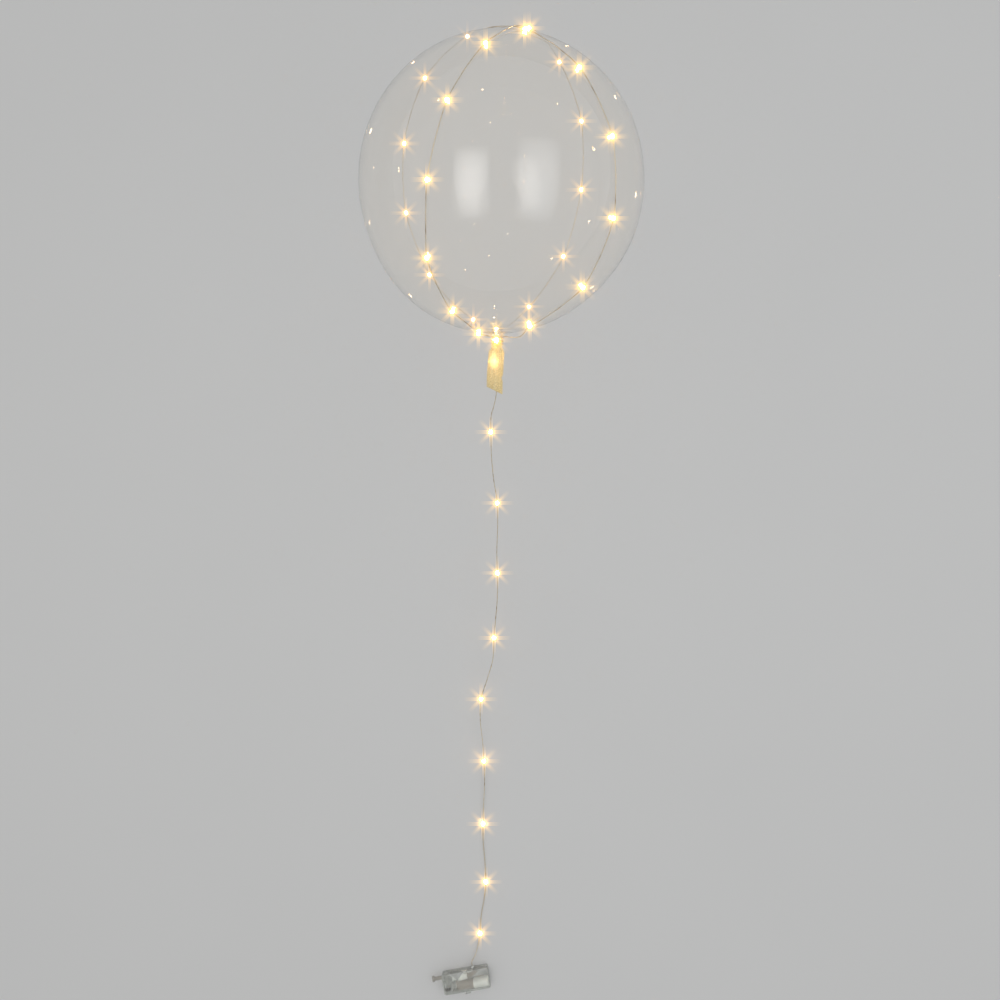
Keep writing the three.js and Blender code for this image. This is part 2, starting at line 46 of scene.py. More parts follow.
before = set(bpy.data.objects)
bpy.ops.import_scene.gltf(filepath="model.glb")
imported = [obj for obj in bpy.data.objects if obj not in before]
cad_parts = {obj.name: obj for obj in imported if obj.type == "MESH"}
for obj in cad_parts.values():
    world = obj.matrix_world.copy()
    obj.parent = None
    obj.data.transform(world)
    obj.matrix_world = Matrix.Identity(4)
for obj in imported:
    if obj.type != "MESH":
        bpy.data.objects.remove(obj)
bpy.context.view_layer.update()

BODY = "root"
UP = np.array([0.0, 0.0, 1.0])


def length(name, default, description):
    """A size setting, in metres."""
    return FloatProperty(
        name=name, description=description, default=default, min=0.0, unit="LENGTH", precision=5
    )


def strength(name, default, description):
    """A setting without a unit."""
    return FloatProperty(name=name, description=description, default=default, min=0.0)


def colour(name, default, description):
    """A colour setting."""
    return FloatVectorProperty(
        name=name, description=description, default=default, size=3, min=0.0, max=1.0, subtype="COLOR"
    )


class FilmSettings(bpy.types.PropertyGroup):
    neck_reach: length("Neck reach", 0.2004, "From the bubble's centre to where its neck side would close")
    neck_radius: length("Neck radius", 0.007, "Radius of the gathered neck")
    funnel_radius: length("Funnel radius", 0.026, "Where the bubble turns into the neck")
    funnel_length: length("Funnel length", 0.0055, "Length of the turn into the neck")
    neck_length: length("Neck length", 0.014, "Length of the gathered neck")
    neck_lean: length("Neck lean", 0.0059, "How far the neck sits to one side")
    lean_start: length("Lean start", 0.060, "Where that lean starts")
    tail_length: length("Tail length", 0.059, "Length of the flat tail")
    tail_width: length("Tail width", 0.0216, "Width of the flat tail")
    tail_thickness: length("Tail thickness", 0.0014, "Both layers of the tail and the air between")
    tail_arch: length("Tail arch", 0.0042, "How far the tail's edges hang below its middle")
    tail_pleat: length("Tail pleat", 0.0005, "Height of the tail's long pleats")
    tail_slant: length("Tail slant", 0.0105, "How much longer the tail is along one edge")
    tail_spread: length("Tail spread", 0.008, "How soon the tail is flat")
    tail_sag: length("Tail sag", 0.0189, "How far the tail's end hangs down")
    tail_side_drift: length("Tail side drift", 0.0034, "How far the tail's end sits to one side")
    thickness: length("Film thickness", 0.0003, "Thickness of one layer of film")
    gather_depth: length("Gather depth", 0.0019, "Depth of the folds at the neck")
    gather_reach: length("Gather reach", 0.085, "Ring radius where the folds have died out")
    gather_folds: IntProperty(name="Folds", description="Folds round the neck", default=16, min=3)
    tint: colour("Film tint", (0.985, 0.972, 0.95), "Colour of the clear film")
    # The tail's cream colour is partly the lamps' warm light painted in, and the tail's glow is painted
    # light: emission round the lamp under the tail, standing in for the light the film scatters.
    tail_colour: colour("Tail colour", (0.97, 0.88, 0.62), "Colour of the gathered film in the lamps' light")
    tail_painted_glow: strength("Tail glow", 0.6, "Light that the tail scatters")


class StringSettings(bpy.types.PropertyGroup):
    wire_radius: length("Wire radius", 0.00065, "Half the width of the twin wire")
    film_gap: length("Film gap", 0.0007, "Between the wire and the film")
    strand_radius: length("Strand radius", 0.00033, "Radius of each of the two strands")
    twist_pitch: length("Twist pitch", 0.016, "Length of one full twist of the two strands")
    neck_turn_rise: length("Turn rise", 0.0039, "Between two turns round the neck")
    crossing_lift: length("Crossing lift", 0.0027, "How much higher the wire lies where it crosses itself")
    tail_start: length("Loose start", 0.0022, "From the tail's end to where the string hangs free")
    tail_side: length("Loose side", 0.0027, "From the tail's middle to where the string hangs free")
    wire_colour: colour("Wire colour", (0.74, 0.64, 0.47), "Colour of the bare wire")
    enamel_colour: colour("Enamel colour", (0.38, 0.27, 0.15), "Colour of the wire's darker stretches")


class LampSettings(bpy.types.PropertyGroup):
    radius: length("Lamp radius", 0.0022, "Radius of a resin drop")
    span: length("Lamp length", 0.0064, "Length of a resin drop")
    film_gap: length("Film gap", 0.00035, "Between a drop and the film")
    end_room: length("End room", 0.0007, "Straight wire past each end of a drop")
    chip_size: length("Chip size", 0.0016, "Length of the light chip in the drop")
    resin_colour: colour("Resin colour", (1.0, 0.93, 0.78), "Colour of the resin")
    glow_colour: colour("Glow colour", (1.0, 0.58, 0.20), "Colour of the lamps' light")
    resin_glow: strength("Resin glow", 110.0, "Light of the resin")
    chip_glow: strength("Chip glow", 160.0, "Light of the chip")


class CaseSettings(bpy.types.PropertyGroup):
    turn: FloatProperty(
        name="Turn", description="Turn of the case about +Z", default=math.radians(10), subtype="ANGLE"
    )
    cell_radius: length("Cell radius", 0.0071, "Radius of a cell")
    cell_length: length("Cell length", 0.0495, "Length of a cell's can")
    nub_radius: length("Nub radius", 0.0027, "Radius of a cell's nub")
    nub_length: length("Nub length", 0.001, "Length of a cell's nub")
    cell_gap: length("Cell gap", 0.0003, "Room beside a cell")
    wall: length("Wall", 0.0011, "Thickness of the case's walls")
    bay_length: length("Switch bay", 0.011, "Length of the switch bay")
    spring_length: length("Spring length", 0.006, "Length of a spring")
    spring_radius: length("Spring radius", 0.0042, "Radius of a spring at its plate")
    spring_tip_radius: length("Spring tip", 0.0023, "Radius of a spring at its cell")
    spring_wire: length("Spring wire", 0.0003, "Radius of a spring's wire")
    plate_thickness: length("Plate thickness", 0.0005, "Thickness of a contact plate")
    plate_side_gap: length("Plate side gap", 0.0022, "From a contact plate to the side wall")
    bushing_place: length("Bushing place", 0.013, "Where the string enters, along the case")
    bushing_radius: length("Bushing radius", 0.0024, "Radius of the bushing at its foot")
    bushing_tip_radius: length("Bushing tip", 0.0017, "Radius of the bushing at its tip")
    bushing_length: length("Bushing length", 0.0045, "Length of the bushing")
    joint_gap: length("Joint gap", 0.0003, "Room between the bushing and the loose string")
    edge_round: length("Edge round", 0.00035, "Rounding of the case's edges")
    grip_start: length("Grip start", 0.0230, "From the lid's middle to its grip ribs")
    grip_end: length("Grip end", 0.0130, "From the lid's middle to the last grip rib")
    grip_side: length("Grip side", 0.0090, "How far the grip ribs are to one side")
    grip_reach: length("Grip reach", 0.0030, "Half the length of a grip rib")
    grip_level: length("Grip level", 0.01742, "Height of the grip ribs' feet above the floor")
    plastic_colour: colour("Plastic", (0.95, 0.965, 0.92), "Colour of the pale clear plastic")
    jacket_colour: colour("Cell jacket", (0.20, 0.14, 0.09), "Colour of a cell's jacket")
    band_colour: colour("Cell band", (0.86, 0.855, 0.83), "Colour of the band at a cell's nub end")
    switch_colour: colour("Switch", (0.20, 0.195, 0.18), "Colour of the switch")


class StageSettings(bpy.types.PropertyGroup):
    floor_size: length("Floor size", 9.0, "Side of the floor")
    floor_colour: colour("Floor", (0.66, 0.655, 0.645), "Colour of the floor")
    camera_height: length("Camera height", 1.857, "Height of the camera")
    camera_back: length("Camera back", 0.309, "From the bubble's middle to the camera, along -Y")
    camera_side: length("Camera side", 0.00183, "From the bubble's middle to the camera, along -X")
    camera_tilt: FloatProperty(
        name="Camera tilt", description="Tilt from straight down", default=math.radians(-4), subtype="ANGLE"
    )
    camera_lens: FloatProperty(name="Lens", description="Focal length in millimetres", default=44.3)
    sky: strength("Sky", 0.56, "Strength of the even light")
    softbox_power: FloatProperty(name="Softbox", description="Power of a softbox", default=15.0, unit="POWER")
    glare: strength("Glare", 0.45, "Strength of the lamps' stars")


# Arrays and meshes


def smooth(low, high, value):
    """0 below low, 1 above high, and a smooth step between."""
    share = np.clip((np.asarray(value, float) - low) / (high - low), 0.0, 1.0)
    return share * share * (3 - 2 * share)


def unit(vectors):
    """The same directions, one long."""
    return vectors / np.linalg.norm(vectors, axis=-1, keepdims=True)


def lerp(start, end, share):
    return start + (end - start) * share


def wrap_faces(rows, columns, start=0):
    """Four-sided faces of a grid of rows whose columns close on themselves."""
    row, column = np.meshgrid(np.arange(rows - 1), np.arange(columns), indexing="ij")
    onward = (column + 1) % columns
    corners = [row * columns + column, (row + 1) * columns + column]
    corners += [(row + 1) * columns + onward, row * columns + onward]
    return start + np.stack(corners, axis=-1).reshape(-1, 4)


class Mesh:
    """Collects closed surfaces, and makes one object of them."""

    def __init__(self):
        self.points = []
        self.faces = []
        self.marks = []
        self.slots = []
        self.count = 0

    def closed_rings(self, rings, mark=0.0, slot=0):
        """A closed skin over rings, an array of rows by columns by 3, with a pole at the middle of each end.

        Its faces point outwards. A mark is one number, or one for each row. A slot is one number, or one for
        each gap between rows.
        """
        rows, columns = rings.shape[:2]
        poles = np.stack([rings[0].mean(0), rings[-1].mean(0)])
        points = np.concatenate([rings.reshape(-1, 3), poles])
        around = np.arange(columns)
        onward = (around + 1) % columns
        last = (rows - 1) * columns
        near = np.stack([np.full(columns, rows * columns), around, onward], axis=-1)
        far = np.stack([np.full(columns, rows * columns + 1), last + onward, last + around], axis=-1)
        sides = wrap_faces(rows, columns)
        if outward_volume(points, sides, near, far) < 0:
            sides, near, far = sides[:, ::-1], near[:, ::-1], far[:, ::-1]
        marks = np.broadcast_to(mark, (rows,))
        slots = np.broadcast_to(slot, (rows - 1,))
        self.points.append(points)
        self.marks.append(np.concatenate([np.repeat(marks, columns), marks[[0, -1]]]))
        self.slots.append(np.repeat(np.concatenate([slots, slots[[0, -1]]]), columns))
        self.faces += (sides + self.count).tolist() + (np.concatenate([near, far]) + self.count).tolist()
        self.count += len(points)

    def make(self, name, materials, mark_name=None):
        """One object at the origin, smooth shaded, riding on the body."""
        mesh = bpy.data.meshes.new(name)
        mesh.from_pydata(np.concatenate(self.points).tolist(), [], self.faces)
        mesh.polygons.foreach_set("material_index", np.concatenate(self.slots).astype(np.int32))
        mesh.polygons.foreach_set("use_smooth", np.ones(len(self.faces), dtype=bool))
        if mark_name:
            layer = mesh.attributes.new(mark_name, "FLOAT", "POINT")
            layer.data.foreach_set("value", np.concatenate(self.marks).astype(np.float32))
        for material in materials:
            mesh.materials.append(material)
        mesh.update()
        mesh.validate()
        piece = bpy.data.objects.new(name, mesh)
        bpy.context.scene.collection.objects.link(piece)
        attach(piece, BODY)
        return piece


def outward_volume(points, sides, near, far):
    """Six times the volume that the faces enclose, below zero where they point inwards."""
    total = 0.0
    for a, b, c in ((0, 1, 2), (0, 2, 3)):
        p, q, r = points[sides[:, a]], points[sides[:, b]], points[sides[:, c]]
        total += np.einsum("ij,ij->", p, np.cross(q, r))
    for fan in (near, far):
        p, q, r = points[fan[:, 0]], points[fan[:, 1]], points[fan[:, 2]]
        total += np.einsum("ij,ij->", p, np.cross(q, r))
    return total


# Materials


class Value:
    """A number in a shader. Arithmetic on it adds Math nodes."""

    def __init__(self, graph, socket):
        self.graph = graph
        self.socket = socket

    def _math(self, operation, first, second):
        outputs = self.graph.node("ShaderNodeMath", {"operation": operation}, {0: first, 1: second})
        return Value(self.graph, outputs[0])

    def __add__(self, other):
        return self._math("ADD", self, other)

    def __radd__(self, other):
        return self._math("ADD", other, self)

    def __sub__(self, other):
        return self._math("SUBTRACT", self, other)

    def __rsub__(self, other):
        return self._math("SUBTRACT", other, self)

    def __mul__(self, other):
        return self._math("MULTIPLY", self, other)

    def __rmul__(self, other):
        return self._math("MULTIPLY", other, self)

    def __pow__(self, other):
        return self._math("POWER", self, other)

    def __rpow__(self, other):
        return self._math("POWER", other, self)

    def step(self, low, high):
        """0 below low, 1 above high, and a smooth step between."""
        settings = {"interpolation_type": "SMOOTHSTEP"}
        inputs = {"Value": self, "From Min": low, "From Max": high}
        return Value(self.graph, self.graph.node("ShaderNodeMapRange", settings, inputs)["Result"])


class Graph:
    """The nodes of a material or a light."""

    def __init__(self, owner, shader="Principled BSDF"):
        owner.use_nodes = True
        self.owner = owner
        self.tree = owner.node_tree
        self.shader = self.tree.nodes[shader]

    def node(self, kind, settings, inputs):
        """Adds a node: its settings first, then the values or links of its sockets."""
        node = self.tree.nodes.new(kind)
        for name, value in settings.items():
            setattr(node, name, value)
        for name, value in inputs.items():
            self.feed(node.inputs[name], value)
        return node.outputs

    def feed(self, socket, value):
        value = value.socket if isinstance(value, Value) else value
        if isinstance(value, bpy.types.NodeSocket):
            self.tree.links.new(value, socket)
        elif socket.type == "RGBA" and len(value) == 3:
            socket.default_value = (*value, 1.0)
        else:
            socket.default_value = value

    def place(self, scale=(1.0, 1.0, 1.0), turn=(0.0, 0.0, 0.0), centre=(0.0, 0.0, 0.0)):
        """Object coordinates, moved so that centre is their middle, turned and stretched."""
        coordinates = self.node("ShaderNodeTexCoord", {}, {})["Object"]
        inputs = {"Vector": coordinates, "Location": [-value for value in centre]}
        moved = self.node("ShaderNodeMapping", {"vector_type": "POINT"}, inputs)["Vector"]
        inputs = {"Vector": moved, "Rotation": turn, "Scale": scale}
        return self.node("ShaderNodeMapping", {"vector_type": "POINT"}, inputs)["Vector"]

    def noise(self, vector, scale, detail=3.0, roughness=0.5, distortion=0.0):
        inputs = {"Vector": vector, "Scale": scale, "Detail": detail}
        inputs |= {"Roughness": roughness, "Distortion": distortion}
        return Value(self, self.node("ShaderNodeTexNoise", {}, inputs)["Fac"])

    def parts(self, vector):
        """The three numbers of a vector."""
        outputs = self.node("ShaderNodeSeparateXYZ", {}, {0: vector})
        return [Value(self, outputs[axis]) for axis in range(3)]

    def near(self, centre, reach, inner=0.2):
        """1 at a place, falling smoothly to 0 at this reach along each axis."""
        stretched = self.place(scale=[1 / size for size in reach], centre=centre)
        settings = {"operation": "LENGTH"}
        distance = Value(self, self.node("ShaderNodeVectorMath", settings, {0: stretched})["Value"])
        return 1 - distance.step(inner, 1.0)

    def mark(self, name):
        """The number that the mesh holds at each point under this name."""
        settings = {"attribute_type": "GEOMETRY", "attribute_name": name}
        return Value(self, self.node("ShaderNodeAttribute", settings, {})["Fac"])

    def mix(self, share, first, second):
        """From the first colour to the second."""
        node = self.tree.nodes.new("ShaderNodeMix")
        node.data_type = "RGBA"
        sockets = [socket for socket in node.inputs if socket.enabled]
        for socket, value in zip(sockets, (share, first, second)):
            self.feed(socket, value)
        return next(socket for socket in node.outputs if socket.enabled)

    def bump(self, height, strength, distance):
        inputs = {"Strength": strength, "Distance": distance, "Height": height}
        return self.node("ShaderNodeBump", {}, inputs)["Normal"]

    def finish(self, **sockets):
        """Feeds the shader's sockets. A name's underscores stand for spaces."""
        for name, value in sockets.items():
            self.feed(self.shader.inputs[name.replace("_", " ")], value)
        return self.owner

    def blend_in(self, share, other):
        """Mixes another shader into the surface by this share."""
        output = self.tree.nodes["Material Output"]
        mixed = self.node("ShaderNodeMixShader", {}, {0: share, 1: self.shader.outputs[0], 2: other})
        self.tree.links.new(mixed[0], output.inputs["Surface"])


def material_graph(name):
    return Graph(bpy.data.materials.new(name))


def film_material(s):
    """Clear stretched film: glass in a thin shell, with faint draw lines along its length."""
    graph = material_graph("clear_stretched_film")
    drawn = graph.noise(graph.place(scale=(26.0, 3.0, 26.0)), 1.0, detail=4.0)
    haze = graph.noise(graph.place(), 9.0, detail=5.0, roughness=0.6)
    return graph.finish(
        Base_Color=tuple(s.tint),
        Roughness=0.004 + 0.02 * haze.step(0.45, 0.85),
        IOR=1.47,
        Transmission_Weight=0.96,
        Normal=graph.bump(drawn, 0.05, 0.002),
    )


def tail_material(s, lamp, glow_colour):
    """Gathered film: many layers make it milky. Its cream colour is partly the lamps' warm light painted in,
    painted glow round the lamp behind it stands in for the light it scatters, and painted shade darkens the
    creases of its pleats.
    """
    graph = material_graph("gathered_film")
    fold = graph.noise(graph.place(scale=(420.0, 26.0, 90.0)), 1.0, detail=3.0)
    speckle = graph.noise(graph.place(), 900.0, detail=2.0)
    cream = tuple(s.tail_colour)
    # Painted shade: the darker colour here goes where the fold bumps are low, in the creases of the pleats.
    crease_shade = tuple(value * shade for value, shade in zip(cream, (0.93, 0.88, 0.78)))
    normal = graph.bump(fold * 0.8 + speckle * 0.2, 0.3, 0.0006)
    through = graph.node("ShaderNodeBsdfTranslucent", {}, {"Color": cream, "Normal": normal})["BSDF"]
    graph.blend_in(0.4, through)
    # Painted glow: a bar of emission over the lamp under the tail and a wider halo round it, standing in for
    # the lamp's light that the film scatters; the halo is uneven with the folds.
    bar = graph.near(lamp, (0.0062, 0.0150, 0.02))
    around = graph.near(lamp, (0.026, 0.046, 0.04), inner=0.0)
    glow = bar * 1.0 + around * (0.20 + 0.12 * fold)
    warm = tuple(lerp(np.array(glow_colour), np.ones(3), 0.12))
    return graph.finish(
        Base_Color=graph.mix(fold.step(0.35, 0.68), crease_shade, cream),
        Roughness=0.16 + 0.2 * speckle,
        IOR=1.47,
        Transmission_Weight=0.55,
        Coat_Weight=0.3,
        Emission_Color=graph.mix(glow, (0.0, 0.0, 0.0), warm),
        Emission_Strength=s.tail_painted_glow,
        Normal=normal,
    )


def wire_material(s):
    """Thin silvered wire, darker where its enamel is thick."""
    graph = material_graph("silver_wire")
    patch = graph.noise(graph.place(), 55.0, detail=4.0)
    grain = graph.noise(graph.place(), 2400.0, detail=2.0)
    return graph.finish(
        Base_Color=graph.mix(patch.step(0.50, 0.72), tuple(s.wire_colour), tuple(s.enamel_colour)),
        Metallic=1.0,
        Roughness=0.24 + 0.22 * grain,
        Coat_Weight=0.5,
        Normal=graph.bump(grain, 0.2, 0.0001),
    )


def resin_material(s):
    """Clear resin lit from within: brightest round the chip, fading to both ends."""
    graph = material_graph("warm_resin")
    glow = graph.mark("glow")
    pale = tuple(lerp(np.array(s.glow_colour), np.ones(3), 0.45))
    flow = graph.noise(graph.place(), 700.0, detail=2.0)
    lit = graph.mix(glow.step(0.1, 0.95), tuple(s.glow_colour), pale)
    dark = (0.02, 0.010, 0.003)
    return graph.finish(
        Base_Color=tuple(s.resin_colour),
        Roughness=0.05 + 0.08 * flow,
        IOR=1.5,
        Transmission_Weight=0.8,
        Emission_Color=graph.mix(glow.step(0.0, 0.8), dark, lit),
        Emission_Strength=s.resin_glow,
        Normal=graph.bump(flow, 0.15, 0.0003),
    )


def chip_material(s):
    """The light chip: a yellow phosphor face that shines warm white."""
    graph = material_graph("light_chip")
    grain = graph.noise(graph.place(), 3000.0, detail=2.0)
    pale = tuple(lerp(np.array(s.glow_colour), np.ones(3), 0.6))
    graph.owner.cycles.emission_sampling = "NONE"
    return graph.finish(
        Base_Color=graph.mix(grain, (0.95, 0.80, 0.30), (0.9, 0.7, 0.2)),
        Roughness=0.5,
        Emission_Color=graph.mix(grain.step(0.2, 0.8), tuple(s.glow_colour), pale),
        Emission_Strength=s.chip_glow,
    )


def case_material(s, case):
    """Pale clear moulded plastic, a little frosted, with flow marks; its grip ribs are darker, and its peg is
    darkened as painted shade.
    """
    graph = material_graph("clear_plastic")
    flow = graph.noise(graph.place(turn=(0.0, 0.0, -s.turn)), 60.0, detail=4.0, distortion=1.2)
    frost = graph.noise(graph.place(), 420.0, detail=3.0)
    x, y, z = graph.parts(graph.place(turn=(0.0, 0.0, -s.turn), centre=tuple(case.middle)))
    along = 1 - ((x + s.grip_start) * (x + s.grip_end)).step(0.0, 0.000001)
    across = 1 - (y + s.grip_side).step(s.grip_reach, s.grip_reach + 0.0001)
    ribs = along * across * z.step(s.grip_level, s.grip_level + 0.00006)
    # Painted shade: the peg at the case's end is darkened, standing in for the shadow on it.
    peg_shade = 1 - x.step(-case.length / 2 - 0.0006, -case.length / 2 - 0.0002)
    clear = tuple(s.plastic_colour)
    shade = tuple(value * 0.93 for value in clear)
    plastic = graph.mix(flow.step(0.4, 0.7), clear, shade)
    return graph.finish(
        Base_Color=graph.mix(ribs, graph.mix(peg_shade * 0.75, plastic, (0.42, 0.38, 0.33)), (0.10, 0.09, 0.08)),
        Roughness=0.04 + 0.10 * flow.step(0.35, 0.75) + 0.04 * frost,
        IOR=1.49,
        Transmission_Weight=0.84,
        Normal=graph.bump(flow * 0.5 + frost * 0.5, 0.12, 0.0006),
    )


def metal_material():
    """Nickel plate with fine stamped scratches."""
    graph = material_graph("nickel_plate")
    scratch = graph.noise(graph.place(scale=(60.0, 3000.0, 400.0)), 1.0, detail=3.0)
    dull = graph.noise(graph.place(), 300.0, detail=3.0)
    return graph.finish(
        Base_Color=graph.mix(dull, (0.78, 0.77, 0.74), (0.62, 0.60, 0.56)),
        Metallic=1.0,
        Roughness=0.18 + 0.24 * scratch,
        Normal=graph.bump(scratch, 0.15, 0.0001),
    )


def jacket_material(s):
    """A cell's shrunk plastic jacket: dark for half its length and pale at the nub end."""
    graph = material_graph("cell_jacket")
    along = graph.mark("along")
    scuff = graph.noise(graph.place(), 260.0, detail=4.0)
    band = along.step(0.52, 0.53)
    body = graph.mix(scuff.step(0.55, 0.8), tuple(s.jacket_colour), tuple(1.35 * v for v in s.jacket_colour))
    metal = along.step(0.985, 0.99) + (1 - along.step(0.006, 0.012))
    jacket = graph.mix(band, body, tuple(s.band_colour))
    return graph.finish(
        Base_Color=graph.mix(metal, jacket, (0.75, 0.74, 0.71)),
        Metallic=metal,
        Roughness=0.26 + 0.2 * scuff,
        Coat_Weight=0.3 * (1 - metal),
        Normal=graph.bump(scuff, 0.1, 0.0002),
    )


def moulded_material(name, base, roughness):
    """Opaque moulded plastic with a fine spark-eroded grain."""
    graph = material_graph(name)
    grain = graph.noise(graph.place(), 1800.0, detail=3.0)
    wear = graph.noise(graph.place(), 240.0, detail=4.0)
    worn = tuple(min(1.0, 1.5 * value + 0.02) for value in base)
    return graph.finish(
        Base_Color=graph.mix(wear.step(0.58, 0.8), base, worn),
        Roughness=roughness + 0.18 * grain,
        Normal=graph.bump(grain, 0.2, 0.0002),
    )


def floor_material(s):
    """A plain pale floor with the faintest mottle."""
    graph = material_graph("pale_floor")
    mottle = graph.noise(graph.place(), 3.0, detail=4.0)
    base = tuple(s.floor_colour)
    return graph.finish(
        Base_Color=graph.mix(mottle, base, tuple(value * 0.97 for value in base)),
        Roughness=0.62 + 0.1 * mottle,
        Specular_IOR_Level=0.3,
    )


# The film's form


class FilmForm:
    """Where the film is. Its half width and reaches come from the frame, the rest from the settings."""

    def __init__(self, s):
        low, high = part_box("film_balloon")
        self.s = s
        self.radius = (high.x - low.x) / 2
        self.crown_reach = high.y
        self.height = high.z - self.radius
        self.funnel_start = s.neck_reach * math.sqrt(1 - (s.funnel_radius / self.radius) ** 2)
        self.neck_top = self.funnel_start + s.funnel_length
        self.neck_end = self.neck_top + s.neck_length
        self.tail_end = self.neck_end + s.tail_length

    def lean(self, down):
        s = self.s
        drift = s.tail_side_drift * smooth(self.neck_top, self.tail_end, down)
        return s.neck_lean * smooth(s.lean_start, s.neck_reach, down) + drift

    def middle(self, down):
        """The middle line: it leans to one side, and past the neck it sags as a square."""
        down = np.asarray(down, float)
        share = np.maximum(0.0, down - self.neck_top) / (self.tail_end - self.neck_top)
        return np.stack([-self.lean(down), -down, self.height - self.s.tail_sag * share**2], axis=-1)

    def beside(self, down, across, up):
        return self.middle(down) + np.array([across, 0.0, up])

    def around_neck(self, azimuth, down, lift):
        """Places round the neck, a lift off it, by azimuth from +Z towards +X."""
        ring = self.s.neck_radius + lift
        offset = np.stack([np.sin(azimuth), np.zeros_like(azimuth), np.cos(azimuth)], axis=-1)
        return self.middle(down) + ring * offset

    def on_film(self, direction, lift):
        """Places a lift off the bubble: an ellipsoid whose crown half and neck half reach differently."""
        reach = np.where(direction[..., 1] > 0, self.crown_reach, self.s.neck_reach)
        wide = np.full_like(reach, self.radius)
        reaches = np.stack([wide, reach, wide], axis=-1)
        point = direction * reaches + unit(direction / reaches) * np.asarray(lift)[..., None]
        lean = self.lean(-point[..., 1])
        return point + np.stack([-lean, np.zeros_like(reach), np.full_like(reach, self.height)], axis=-1)


def heading(polar, azimuth):
    """The direction at a polar angle from the crown and an azimuth from +Z towards +X, in degrees."""
    polar, azimuth = np.radians(polar), np.radians(azimuth)
    off_axis = np.sin(polar)
    return np.stack([off_axis * np.sin(azimuth), np.cos(polar), off_axis * np.cos(azimuth)], axis=-1)


# The first row by the crown's pole, as a share of the step between rows
FIRST_ROW = 0.15


def film_rows(form, inset=0.0, bubble_rows=112, funnel_rows=12, neck_rows=14, tail_rows=52):
    """Distance down the middle line and ring radius, row by row from the crown to the tail's end.

    The bubble's rows lie an inset further in along its length. The radius is that of the outer face.
    """
    s = form.s
    funnel_polar = math.pi - math.asin(s.funnel_radius / form.radius)
    polar = funnel_polar * (np.arange(bubble_rows) + FIRST_ROW) / (bubble_rows - 1 + FIRST_ROW)
    reach = np.where(polar < math.pi / 2, form.crown_reach, s.neck_reach) - inset
    share = (np.arange(funnel_rows) + 1) / funnel_rows
    neck = form.neck_top + s.neck_length * (np.arange(neck_rows) + 1) / neck_rows
    tail = form.neck_end + s.tail_length * (np.arange(tail_rows) + 1) / tail_rows
    down = np.concatenate([-reach * np.cos(polar), form.funnel_start + s.funnel_length * share, neck, tail])
    funnel = s.neck_radius + (s.funnel_radius - s.neck_radius) * (1 - share) ** 2
    flat = np.full(neck_rows + tail_rows, s.neck_radius)
    return down, np.concatenate([form.radius * np.sin(polar), funnel, flat])


# The tail's fine creases by the neck, its waves along its length, and the dent in its right edge
CREASE_HEIGHT = 0.0005
CREASE_FADE = (0.006, 0.042)
RIPPLE_HEIGHT = 0.0004
RIPPLES_PER_METRE = 150
DENT_PLACE = 0.0385
DENT_LENGTH = 0.0026
DENT_SHARE = 0.17
DENT_LIFT = 0.0012


def film_rings(form, inset, columns=160):
    """One side of the film, an inset in from its outer face.

    A ring of the bubble is a circle about the middle line, folded in by half a cosine of many waves where
    it is gathered. Past the neck the circle turns into a flat loop. Its place across is a sine. Its height
    is that of long pleats, plus or minus half the thickness, less the arch times the square of the sine.
    """
    s = form.s
    down, ring = film_rows(form, inset)
    down, ring = down[:, None], ring[:, None]
    turn = np.arange(columns)[None, :] * 2 * math.pi / columns
    uneven = s.gather_folds * turn + 0.7 * np.sin(3 * turn + 0.7) + 0.5 * np.sin(5 * turn + 2.0)
    gathered = 1 - smooth(s.neck_radius, s.gather_reach, ring)
    depth = s.gather_depth * gathered**3 * (0.75 + 0.25 * np.cos(2 * turn + 1.0))
    bubble_side = smooth(0.0, s.neck_reach, down)
    ring = ring - inset - depth * bubble_side * (0.5 - 0.5 * np.cos(uneven))
    round_x, round_z = ring * np.sin(turn), ring * np.cos(turn)

    across = np.sin(turn)
    side = np.cos(turn)
    past = down - form.neck_end
    crease = 1 - smooth(*CREASE_FADE, past)
    pleats = s.tail_pleat * np.cos(3 * math.pi * across)
    pleats = pleats + CREASE_HEIGHT * crease * np.cos(8 * math.pi * across + 0.6)
    pleats = pleats + RIPPLE_HEIGHT * np.sin(past * RIPPLES_PER_METRE + 2.2 * across)
    half_gap = s.tail_thickness / 2 - inset
    dent = np.exp(-(((past - DENT_PLACE) / DENT_LENGTH) ** 2)) * smooth(0.55, 1.0, across)
    flat_x = across * (s.tail_width / 2 - inset) * (1 - DENT_SHARE * dent)
    flat_z = pleats - s.tail_arch * across**2 + np.sign(side) * np.abs(side) ** 0.5 * half_gap
    flat_z = flat_z + DENT_LIFT * dent
    flat = smooth(0.0, s.tail_spread, past)
    slant = across * s.tail_slant / 2 * smooth(0.0, s.tail_length, past)
    middle = form.middle(down)
    sideways, upwards = lerp(round_x, flat_x, flat), lerp(round_z, flat_z, flat)
    rings = middle + np.stack([sideways, -slant * np.ones_like(flat), upwards], axis=-1)
    rings[..., 2] = pressed(rings[..., 2], inset)
    return rings


def pressed(height, inset, softness=0.0006):
    """Heights with what would be under the floor pressed flat, and an inset above it."""
    height = height - inset
    return inset + 0.5 * (height + np.sqrt(height**2 + softness**2))


